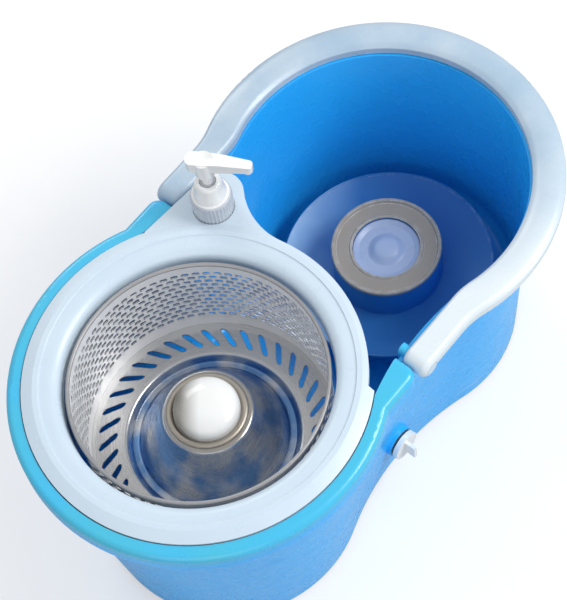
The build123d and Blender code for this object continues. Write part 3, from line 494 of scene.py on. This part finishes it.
def lay_on(tree, tone, layers):
    """Lay colours over a tone, each through the mask of a node group."""
    for group, inputs, layer_colour in layers:
        mask = fill_group(tree, group, inputs)["Mask"]
        tone = tint(tree, mask, tone, layer_colour)
    return tone


def connect(tree, shader, tone, surface, depth, strength):
    """Feed a shader a colour, and the roughness and the bump of a surface."""
    bump_inputs = {"Strength": strength, "Distance": depth, "Height": surface["Height"]}
    bump = place(tree, "ShaderNodeBump", bump_inputs)[0]
    fill(tree, shader, {"Base Color": tone, "Roughness": surface["Roughness"], "Normal": bump})


def plastic(name, base, cloud, edge_colour, share, polish, ripple, edge_strength, coat=0.0, layers=()):
    """Moulded plastic with paler edges, which are rubbed wear and on the wash ring a painted highlight, and,
    where asked, layers of other colours.
    """
    material, tree, shader = start_material(name)
    skin = moulded(tree, base, cloud, share, polish, ripple)
    edges = (edge_wear_and_painted_light, {"Width": edge_width, "Strength": edge_strength}, edge_colour)
    tone = lay_on(tree, skin["Colour"], [*layers, edges])
    connect(tree, shader, tone, skin, ripple_depth, ripple_strength)
    fill(tree, shader, {"IOR": plastic_ior, "Coat Weight": coat, "Coat Roughness": coat_roughness})
    return material


print("recipe ready, edge width", edge_width)

# %% [markdown]
# ## Layers on the plastics
# Each layer is a group, the values for it and a colour. The axis of a round piece is the middle of
# its solid's box, and the line between two tones is measured down from the top of the piece. The
# other reaches are given in the metres of the solids.

# %% Layers for the plastics
line_width = 0.0003
ring_face = 0.0035
collar_dome = 0.0165
side_light_heading = (-0.63, 0.77, 0.0)
handle_shade_heading = (0.6, 0.8, 0.0)


def axis_place(node):
    """Foot of the upright axis of a round solid."""
    low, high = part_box(node)
    return Vector(((low.x + high.x) / 2, (low.y + high.y) / 2, 0.0))


basket_axis = axis_place("basket_drum")
tub_axis = axis_place("wash_dish")
ring_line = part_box("wash_plate")[1].z - ring_face
skirt_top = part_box("pump_collar")[1].z - collar_dome

scuffs = (floor_scuffs, {"Reach": 0.05, "Strength": 0.5}, opaque(0.35, 0.62, 0.95))
rim_tint = (
    round_zone,
    {"Axis Place": basket_axis, "Low": 0.203, "High": 0.214, "Near": 0.145, "Far": 0.165},
    opaque(0.055, 0.46, 0.65),
)
# Painted shade on the inside of the pail behind the basket.
basket_shade = (
    painted_basket_shade,
    {"Axis Place": basket_axis, "Low": 0.06, "High": 0.09, "Near": 0.128, "Far": 0.134},
    opaque(0.20, 0.22, 0.26),
)
# Painted shade on one side of the handle.
handle_shade = (
    painted_side_light,
    {"Axis Place": tub_axis, "Heading": handle_shade_heading, "Start": -0.12, "End": -0.02},
    opaque(0.33, 0.45, 0.57),
)
# Painted shade on one side of the hub.
hub_shade = (
    painted_side_light,
    {"Axis Place": axis_place("hub_cap"), "Heading": side_light_heading, "Start": 0.004, "End": 0.019},
    opaque(0.19, 0.175, 0.145),
)
# Painted light on the lit side of the dish.
dish_light = (
    painted_side_light,
    {"Axis Place": tub_axis, "Heading": side_light_heading, "Start": 0.02, "End": 0.085},
    opaque(0.42, 0.62, 0.80),
)
ring_skirt = (
    two_tones,
    {"Clear Height": ring_line + line_width, "Full Height": ring_line},
    opaque(0.02, 0.20, 0.52),
)
# Painted shade on the collar's skirt below its step.
collar_skirt_shade = (
    two_tones,
    {"Clear Height": skirt_top, "Full Height": skirt_top - line_width},
    opaque(0.46, 0.50, 0.56),
)
print("ring line", round(ring_line, 4), "top of the collar's skirt", round(skirt_top, 4))

# %% [markdown]
# ## Plastics
# The pail is one sky-blue moulding, duller on its front rim, with painted shade inside it behind the
# basket. The cover and the handle are pale and a little bluish, and the handle, which hands touch most,
# is a little greyer and painted darker on one side as shade. The hub, the pump and the drain plug are
# glossy white, with painted shade on one side of the hub and on the collar's skirt. The wash ring is
# warm grey on top with a painted highlight on its rim. The dish under it is a deeper blue, painted
# paler on one side as light.

# %% Plastic materials
gloss_values = {
    "base": opaque(0.80, 0.81, 0.80),
    "cloud": opaque(0.74, 0.76, 0.78),
    "edge_colour": opaque(0.95, 0.95, 0.95),
    "share": 0.5,
    "polish": 0.18,
    "ripple": 600.0,
    "edge_strength": 0.3,
    "coat": 0.3,
}
finishes = {
    "blue_plastic": plastic(
        "sky_blue_moulding",
        base=opaque(0.018, 0.42, 0.96), cloud=opaque(0.030, 0.47, 0.98), edge_colour=opaque(0.35, 0.62, 0.95),
        share=0.5, polish=0.26, ripple=420.0, edge_strength=0.35, coat=0.15, layers=[rim_tint, basket_shade, scuffs],
    ),
    "white_plastic": plastic(
        "pale_satin_moulding",
        base=opaque(0.535, 0.645, 0.745), cloud=opaque(0.585, 0.685, 0.77), edge_colour=opaque(0.85, 0.9, 0.97),
        share=0.5, polish=0.3, ripple=500.0, edge_strength=0.4,
    ),
    "handle_plastic": plastic(
        "pale_handle_moulding",
        base=opaque(0.62, 0.69, 0.74), cloud=opaque(0.67, 0.73, 0.77), edge_colour=opaque(0.85, 0.9, 0.97),
        share=0.6, polish=0.28, ripple=500.0, edge_strength=0.5, layers=[handle_shade],
    ),
    "white_gloss": plastic("white_gloss_moulding", **gloss_values),
    "hub_gloss": plastic("shaded_gloss_moulding", **gloss_values, layers=[hub_shade]),
    "collar_gloss": plastic("skirt_shaded_gloss_moulding", **gloss_values, layers=[collar_skirt_shade]),
    "grey_plastic": plastic(
        "grey_moulding",
        base=opaque(0.3, 0.32, 0.35), cloud=opaque(0.25, 0.27, 0.3), edge_colour=opaque(0.5, 0.52, 0.55),
        share=0.6, polish=0.45, ripple=700.0, edge_strength=0.4,
    ),
    # The wash ring's bright white rim is a painted highlight, laid on through the edge mask.
    "warm_grey_plastic": plastic(
        "warm_grey_moulding",
        base=opaque(0.36, 0.315, 0.265), cloud=opaque(0.27, 0.25, 0.225), edge_colour=opaque(0.9, 0.9, 0.9),
        share=0.8, polish=0.42, ripple=700.0, edge_strength=1.0, layers=[ring_skirt],
    ),
    "lavender_plastic": plastic(
        "lavender_moulding",
        base=opaque(0.38, 0.47, 0.66), cloud=opaque(0.48, 0.56, 0.72), edge_colour=opaque(0.75, 0.78, 0.92),
        share=0.7, polish=0.3, ripple=600.0, edge_strength=0.6,
    ),
    "wash_blue_plastic": plastic(
        "wash_dish_moulding",
        base=opaque(0.015, 0.17, 0.48), cloud=opaque(0.03, 0.22, 0.55), edge_colour=opaque(0.55, 0.75, 0.92),
        share=0.6, polish=0.48, ripple=420.0, edge_strength=0.8, layers=[dish_light],
    ),
    "nylon": plastic(
        "natural_nylon",
        base=opaque(0.78, 0.75, 0.66), cloud=opaque(0.7, 0.67, 0.58), edge_colour=opaque(0.85, 0.84, 0.8),
        share=0.6, polish=0.4, ripple=800.0, edge_strength=0.2,
    ),
    "rubber_grey": plastic(
        "soft_rubber",
        base=opaque(0.035, 0.036, 0.04), cloud=opaque(0.06, 0.06, 0.065), edge_colour=opaque(0.16, 0.16, 0.165),
        share=0.7, polish=0.62, ripple=900.0, edge_strength=0.6,
    ),
}
print("plastics", sorted(finishes))

# %% [markdown]
# ## Translucent plastic
# The soap bottle, the pump's cylinder and the tube below are natural polyethylene, milky and part
# clear. Glass would be too clean for it. A rough transmission with a plain weight lets the light
# through and blurs what is behind.

# %% Translucent material
clear_share = 0.55
milky_ior = 1.5
milky, tree, shader = start_material("milky_moulding")
skin = moulded(
    tree, opaque(0.86, 0.9, 0.93), opaque(0.74, 0.8, 0.86), share=0.6, polish=0.3, ripple=500.0
)
connect(tree, shader, skin["Colour"], skin, ripple_depth, ripple_strength)
fill(tree, shader, {"Transmission Weight": clear_share, "IOR": milky_ior})
finishes["clear_plastic"] = milky
print("translucent", milky.name)

# %% [markdown]
# ## Metals
# The basket is bright pressed stainless sheet, the washer of its hub is warmer, the shafts, screws
# and other small parts are plain steel, and the bushes are sintered bronze. All are the lathe lines
# with other colours, and the lines run round the basket's axis. The sheet has painted shade round the
# rims of its holes and on its bead under the cover's lip, cloudy water marks on the cone whose blue is
# a painted reflection of the pail, and a darker seat for the hub.

# %% Metal materials
line_depth = 0.0002
line_strength = 0.08
bead = 0.0016
bead_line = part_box("basket_drum")[1].z - 2 * bead
seat_radius = 0.0335
seat_fade = 0.001


def metal(name, base, line, polish, scale, metallic=1.0, layers=()):
    """Metal with lines round the basket's axis and, where asked, layers of other colours."""
    material, tree, shader = start_material(name)
    inputs = {"Axis Place": basket_axis, "Colour": base, "Line Colour": line}
    lines = fill_group(tree, lathe_lines, {**inputs, "Polish": polish, "Line Scale": scale})
    tone = lay_on(tree, lines["Colour"], layers)
    connect(tree, shader, tone, lines, line_depth, line_strength)
    fill(tree, shader, {"Metallic": metallic})
    return material


# Painted shade on the rims and walls of the holes, through the edge mask.
painted_hole_shade = (edge_wear_and_painted_light, {"Width": 0.001, "Strength": 2.0}, opaque(0.03, 0.03, 0.04))
# Painted shade on the rolled bead, which sits under the cover's lip.
bead_shade = (
    two_tones,
    {"Clear Height": bead_line, "Full Height": bead_line + line_width},
    opaque(0.34, 0.34, 0.35),
)
# Cloudy marks on the cone, whose blue is a painted reflection of the pail.
cone_marks_and_reflection = (
    marks_and_painted_reflection,
    {"Axis Place": basket_axis, "Reach": 0.064, "Fade": 0.004, "Strength": 0.95},
    opaque(0.11, 0.25, 0.50),
)
seat_reach = {"Near": seat_radius, "Far": seat_radius + seat_fade}
seat_tone = (
    round_zone,
    {"Axis Place": basket_axis, "Low": 0.155, "High": 0.156, **seat_reach},
    opaque(0.45, 0.42, 0.37),
)
finishes |= {
    "stainless": metal(
        "bright_sheet_steel",
        base=opaque(0.95, 0.95, 0.95), line=opaque(0.84, 0.84, 0.84),
        polish=0.4, scale=900.0, metallic=0.4, layers=[bead_shade, painted_hole_shade],
    ),
    "marked_stainless": metal(
        "marked_and_reflection_painted_steel",
        base=opaque(0.62, 0.62, 0.62), line=opaque(0.50, 0.50, 0.50),
        polish=0.26, scale=900.0, layers=[cone_marks_and_reflection, seat_tone, painted_hole_shade],
    ),
    "warm_steel": metal(
        "warm_plated_steel",
        base=opaque(0.47, 0.43, 0.37), line=opaque(0.38, 0.35, 0.31), polish=0.45, scale=1500.0,
    ),
    "screw_steel": metal(
        "plain_steel",
        base=opaque(0.5, 0.5, 0.51), line=opaque(0.36, 0.36, 0.37), polish=0.32, scale=2500.0,
    ),
    "bronze": metal(
        "sintered_bronze",
        base=opaque(0.5, 0.34, 0.16), line=opaque(0.38, 0.25, 0.11), polish=0.45, scale=2500.0,
    ),
}
print("finishes", len(finishes))

# %% [markdown]
# ## Dressing the solids
# The record names a material slot for every solid, so the finishes are handed out in one loop.
# A few pieces have a finish of their own in place of their slot's, such as the handle and the hub.

# %% Put the finishes on the solids
slots = {part["node"]: part["material_slot"] for part in frame["record"]["subparts"]}
own_finishes = {
    "handle_bail": "handle_plastic",
    "hub_cap": "hub_gloss",
    "pump_collar": "collar_gloss",
    "spin_basket": "marked_stainless",
    "hub_washer": "warm_steel",
}
for name, solid in frame["nodes"].items():
    solid.data.materials.clear()
    solid.data.materials.append(finishes[own_finishes.get(name, slots[name])])
print("dressed", len(slots), "solids from", len(set(slots.values())), "slots")

# %% [markdown]
# ## The perforated drum
# The basket's wall is steel strip, pierced with hundreds of short slots and rolled into a drum.
# A boolean would have to cut each hole, and would be slow and untidy. A grid is better: a strip of
# faces is rolled round the axis, and the cells where a hole falls are left out. Every second row is
# shifted by half a step, so the grid has lines for both kinds of row. The corners of each hole are
# drawn in, which rounds its ends. The strip gets an inner and an outer skin and walls between them.

# %% Grid of the drum
hole_columns = 72
hole_rows = 12
hole_share = 0.34
row_share = 0.5 - hole_share
hole_height = 0.0034
corner_draw = 0.085
plain_top = 0.0135
plain_bottom = 0.0165
sheet = 0.001

drum_low, drum_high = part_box("basket_drum")
drum_radius = (drum_high.x - drum_low.x) / 2 - bead
first_row = drum_low.z + plain_bottom
row_pitch = (drum_high.z - plain_top - first_row) / (hole_rows - 1)

line_shares = (-hole_share, -row_share, row_share, hole_share)
lines_per_hole = len(line_shares)
turn_lines = [(column + share) / hole_columns for column in range(hole_columns) for share in line_shares]
line_count = len(turn_lines)
row_levels = (-hole_height / 2, 0.0, hole_height / 2)
heights = [drum_low.z]
for row in range(hole_rows):
    heights += [first_row + row * row_pitch + level for level in row_levels]
heights.append(drum_high.z - bead)

open_cells = set()
turn_shift = {}
for row in range(hole_rows):
    under = 1 + row * len(row_levels)
    over = under + len(row_levels) - 1
    row_start = (row % 2) * (lines_per_hole // 2)
    for column in range(hole_columns):
        first = row_start + column * lines_per_hole
        last = first + lines_per_hole - 1
        for level in range(under, over):
            open_cells |= {(line % line_count, level) for line in range(first, last)}
        for level in (under, over):
            turn_shift[first % line_count, level] = corner_draw / hole_columns
            turn_shift[last % line_count, level] = -corner_draw / hole_columns

drum_cells = [
    (line, level)
    for level in range(len(heights) - 1)
    for line in range(line_count)
    if (line, level) not in open_cells
]
print("drum holes", hole_rows * hole_columns, "faces in one skin", len(drum_cells))

# %% [markdown]
# ## Building a sheet
# Drum and pan are both sheets: two skins that share a grid. A wall is needed wherever a cell has no
# neighbour. Neighbours share a side, each in its own direction, so the sides that find no partner are
# the ones to wall up. A finished piece is shaded smooth, apart from its sharp edges, and is handed to
# the body that it rides.

# %% Helpers for meshes
sharp_angle = radians(35)


def round_point(axis, radius, turn, height):
    """Place at a distance from an upright axis, some turn round it."""
    return (axis.x + radius * cos(turn), axis.y + radius * sin(turn), height)


def close_shell(mesh, first_skin, second_skin, cells, line_count):
    """Faces of two skins that share a grid, and walls where a cell has no neighbour."""
    walls = {}
    for line, level in cells:
        beside = (line + 1) % line_count
        corners = [(line, level), (beside, level), (beside, level + 1), (line, level + 1)]
        mesh.faces.new([first_skin[corner] for corner in corners])
        mesh.faces.new([second_skin[corner] for corner in reversed(corners)])
        for start, end in zip(corners, corners[1:] + corners[:1]):
            if (end, start) in walls:
                del walls[end, start]
            else:
                walls[start, end] = True
    for start, end in walls:
        mesh.faces.new((first_skin[end], first_skin[start], second_skin[start], second_skin[end]))
    loose = [vertex for vertex in mesh.verts if not vertex.link_faces]
    bmesh.ops.delete(mesh, geom=loose, context="VERTS")


def finish_piece(mesh, name, finish, body, replaced):
    """Turn a built mesh into a smooth piece that rides a body, in place of a solid where one is named."""
    bmesh.ops.recalc_face_normals(mesh, faces=mesh.faces)
    data = bpy.data.meshes.new(name)
    mesh.to_mesh(data)
    mesh.free()
    for face in data.polygons:
        face.use_smooth = True
    data.set_sharp_from_angle(angle=sharp_angle)
    data.materials.append(finishes[finish])
    piece = bpy.data.objects.new(name, data)
    scene.collection.objects.link(piece)
    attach(piece, body)
    if replaced:
        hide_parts(replaced)
    print(name, "faces", len(data.polygons))


print("sharp from", round(sharp_angle, 3), "radians")

# %% [markdown]
# The drum's strip goes round as two skins. The rolled bead at the top is a ring in the same mesh, spun
# from a small round outline.

# %% Drum mesh
bead_steps = 12


def spin_outline(mesh, axis, outline, steps):
    """Closed ring spun from an outline of (radius, height) points round an axis."""
    rings = []
    for step in range(steps):
        turn = 2 * pi * step / steps
        rings.append([mesh.verts.new(round_point(axis, radius, turn, height)) for radius, height in outline])
    count = len(outline)
    for step in range(steps):
        here = rings[step]
        after = rings[(step + 1) % steps]
        for point in range(count):
            beside = (point + 1) % count
            mesh.faces.new((here[point], after[point], after[beside], here[beside]))


drum = bmesh.new()
drum_skins = []
for radius in (drum_radius, drum_radius - sheet):
    skin_points = {}
    for level, height in enumerate(heights):
        for line, share in enumerate(turn_lines):
            turn = 2 * pi * (share + turn_shift.get((line, level), 0.0))
            skin_points[line, level] = drum.verts.new(round_point(basket_axis, radius, turn, height))
    drum_skins.append(skin_points)
close_shell(drum, *drum_skins, drum_cells, line_count)
bead_turns = [2 * pi * step / bead_steps for step in range(bead_steps)]
bead_outline = [
    (drum_radius + bead * cos(turn), drum_high.z - bead + bead * sin(turn))
    for turn in bead_turns
]
spin_outline(drum, basket_axis, bead_outline, line_count)
finish_piece(
    drum, "perforated_drum",
    finish="stainless", body="basket", replaced="basket_drum",
)

# %% [markdown]
# ## The slotted pan
# Below the drum lies a pressed pan: a flat ring with leaning slots, a gutter, and a cone that rises
# to the hub. It is a revolved sheet, so one grid can carry it all: levels follow the bent section
# from the hem to the hub, and lines run round. In the ring each slot has a line along either side.
# These lines lean with the slot and draw together at its ends, which makes the ends round.

# %% Section of the pan
ring_edge = 0.067
gutter_outer = 0.063
gutter_inner = 0.057
hub_hole = 0.014
pan_bend = 0.003
bend_steps = 5
pan_low, pan_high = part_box("spin_basket")
pan_axis = axis_place("spin_basket")
pan_radius = (pan_high.x - pan_low.x) / 2
ring_under = drum_low.z - sheet
section_corners = [
    (pan_radius, ring_under),
    (ring_edge, ring_under),
    (gutter_outer, pan_low.z),
    (gutter_inner, pan_low.z),
    (seat_radius, pan_high.z - sheet),
    (hub_hole, pan_high.z - sheet),
]


def bent_section(corners, bend, steps):
    """Points of a polyline with rounded corners, each with the direction that faces up from the sheet."""
    made = []
    spots = [Vector(corner) for corner in corners]
    for before, here, after in zip(spots, spots[1:], spots[2:]):
        came = (here - before).normalized()
        goes = (after - here).normalized()
        turn = came.angle_signed(goes)
        start = here - came * bend * abs(tan(turn / 2))
        side = Vector((-came.y, came.x)) * (-1 if turn > 0 else 1)
        for step in range(steps + 1):
            swing = Matrix.Rotation(-turn * step / steps, 2)
            heading = swing @ came
            spot = start + side * bend - (swing @ side) * bend
            made.append((spot, Vector((heading.y, -heading.x))))
    came = (spots[-1] - spots[-2]).normalized()
    made.append((spots[-1], Vector((came.y, -came.x))))
    return made


bends = bent_section(section_corners, pan_bend, bend_steps)
print("pan section points", len(bends), "first", [round(value, 4) for value in bends[0][0]])

# %% [markdown]
# The slot's outline sets how far its two side lines stand apart at each level: half the width
# between the end circles, less and less inside them. The hem and the levels of the ring come first,
# then the points of the bent section.

# %% Levels of the pan
slot_width = 0.005
slot_inner = 0.0737
slot_outer = 0.0880
slot_blunt = 0.4
hem_height = 0.004
end_radius = slot_width / 2
reach_steps = (0.0, 0.12, 0.35, 0.65, 1.0)
slot_levels = [slot_outer - end_radius * step for step in reach_steps]
slot_levels += [slot_inner + end_radius * step for step in reversed(reach_steps)]


def slot_half(radius):
    """Half width of a slot at a distance from the axis, kept open a little at its ends."""
    past = max(radius - (slot_outer - end_radius), slot_inner + end_radius - radius, 0.0)
    return max(sqrt(max(end_radius**2 - past**2, 0.0)), slot_blunt * end_radius)


upper = [(pan_radius - sheet, drum_low.z + hem_height), (pan_radius - sheet, drum_low.z)]
lower = [(pan_radius, drum_low.z + hem_height), (pan_radius, ring_under)]
first_open = len(lower)
upper += [(radius, drum_low.z) for radius in slot_levels]
lower += [(radius, ring_under) for radius in slot_levels]
last_open = len(lower) - 1
for spot, facing in bends:
    lower.append(tuple(spot))
    upper.append(tuple(spot + facing * sheet))
print("pan levels", len(lower), "with slots from level", first_open, "to", last_open)

# %% [markdown]
# Each slot takes three lines: one along either side, and one in the middle of the metal that follows.
# The cells between the side lines are left out at the slot's levels.

# %% Pan mesh
slot_count = 36
slot_lean = radians(8.2)
slot_phase = radians(2.0)
lines_per_slot = 3
pan_lines = slot_count * lines_per_slot
middle_radius = (slot_inner + slot_outer) / 2

pan = bmesh.new()
pan_skins = []
for section in (upper, lower):
    skin_points = {}
    for level, (radius, height) in enumerate(section):
        guide = min(max(lower[level][0], slot_inner), slot_outer)
        lean = slot_lean * (guide - middle_radius) / (slot_outer - slot_inner)
        half = slot_half(guide) / guide
        for line in range(pan_lines):
            slot, side = divmod(line, lines_per_slot)
            offset = (-half, half, pi / slot_count)[side]
            turn = slot_phase + 2 * pi * slot / slot_count + lean + offset
            skin_points[line, level] = pan.verts.new(round_point(pan_axis, radius, turn, height))
    pan_skins.append(skin_points)
pan_cells = [
    (line, level)
    for level in range(len(lower) - 1)
    for line in range(pan_lines)
    if line % lines_per_slot or not first_open <= level < last_open
]
close_shell(pan, *pan_skins, pan_cells, pan_lines)
finish_piece(
    pan, "slotted_pan",
    finish="marked_stainless", body="basket", replaced="spin_basket",
)

# %% [markdown]
# ## The crowned handle
# The top of the handle is slightly crowned, so it shows a light middle between darker edges. The
# solid is flat there. A bump would only shade it, and the exported mesh would stay flat. So the
# solid's faces are built once more, without the solid's own normals, which wouldn't fit the new shape.
# They get more points across the top, and each point sinks with the square of its distance from the
# middle of the band. The sinking ends at the ceiling of the channel under the handle's roof, which
# stays as it is. The arms stay flat, where the handle meets its pins.

# %% Handle mesh
handle_band = 0.0248
handle_roof = 0.004
crown_depth = 0.003
crown_start = 0.06
crown_full = 0.11
top_cuts = 5
weld = 0.000001
band_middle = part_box("handle_bail")[1].y - handle_band / 2


def share_of(value, start, end):
    """How far a value has come from a start to an end, from 0 to 1."""
    return min(max((value - start) / (end - start), 0.0), 1.0)


solid_mesh = frame["nodes"]["handle_bail"].data
handle = bmesh.new()
spots = [handle.verts.new(vertex.co) for vertex in solid_mesh.vertices]
for face in solid_mesh.polygons:
    handle.faces.new([spots[index] for index in face.vertices])
bmesh.ops.remove_doubles(handle, verts=handle.verts, dist=weld)
handle_top = max(vertex.co.z for vertex in handle.verts if vertex.co.x > crown_full)
flat_top = {face for face in handle.faces if min(vertex.co.z for vertex in face.verts) > handle_top - weld}
top_edges = [edge for edge in handle.edges if not flat_top.isdisjoint(edge.link_faces)]
print("flat faces on the handle's top", len(flat_top))
bmesh.ops.subdivide_edges(handle, edges=top_edges, cuts=top_cuts, use_grid_fill=True)
for vertex in handle.verts:
    away = ((vertex.co - tub_axis).xy.length - band_middle) / (handle_band / 2)
    near_top = share_of(vertex.co.z, handle_top - handle_roof, handle_top)
    behind = share_of(vertex.co.x, crown_start, crown_full)
    vertex.co.z -= crown_depth * min(away**2, 1.0) * near_top * behind
finish_piece(
    handle, "crowned_handle",
    finish="handle_plastic", body="handle", replaced="handle_bail",
)

# %% [markdown]
# ## Grip ribs on the pump
# A pump's collar is screwed on by hand, so its skirt has grip ribs. Each rib is a half-round bar that
# stands half a millimetre proud. They could be an array of one bar, but a loop that builds all bars
# into one mesh makes them a single piece.

# %% Rib mesh
rib_count = 36
rib_radius = 0.0007
rib_sunk = 0.0002
rib_steps = 6
rib_length = 0.0225
rib_end = 0.0022
collar_low, collar_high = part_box("pump_collar")
collar_axis = axis_place("pump_collar")
rib_ring = (collar_high.x - collar_low.x) / 2 - rib_sunk
rib_heights = (skirt_top - rib_length, skirt_top - rib_end)

ribs = bmesh.new()
for rib in range(rib_count):
    turn = 2 * pi * rib / rib_count
    outward = Vector((cos(turn), sin(turn), 0.0))
    sideways = Vector((-sin(turn), cos(turn), 0.0))
    outline = []
    for step in range(rib_steps + 1):
        lean = pi * step / rib_steps
        reach = outward * (rib_ring + rib_radius * sin(lean)) - sideways * rib_radius * cos(lean)
        outline.append(collar_axis + reach)
    bottom, top = [[ribs.verts.new((spot.x, spot.y, height)) for spot in outline] for height in rib_heights]
    ribs.faces.new(list(reversed(bottom)))
    ribs.faces.new(top)
    for point in range(len(outline)):
        beside = (point + 1) % len(outline)
        ribs.faces.new((bottom[point], bottom[beside], top[beside], top[point]))
finish_piece(
    ribs, "collar_ribs",
    finish="collar_gloss", body="bucket", replaced=None,
)

# %% [markdown]
# ## Paper floor
# The floor is white paper: nearly even, with faint clouds so that it isn't one flat colour.
# Studio paper is lit on its own until it is white in the picture. Here it glows a little, but only
# for the camera, so that the glow doesn't light the walls of the pail from below.

# %% Floor material
paper_glow = 0.42
paper, tree, shader = start_material("white_paper")
skin = moulded(
    tree, opaque(0.52, 0.52, 0.52), opaque(0.50, 0.505, 0.51), share=0.5, polish=0.7, ripple=300.0
)
seen = place(tree, "ShaderNodeLightPath", {})["Is Camera Ray"]
glow = {"Emission Color": opaque(1.0, 1.0, 1.0), "Emission Strength": times(tree, seen, paper_glow)}
fill(tree, shader, {"Base Color": skin["Colour"], "Roughness": skin["Roughness"], **glow})
floor_mesh.materials.append(paper)
print("floor", paper.name)
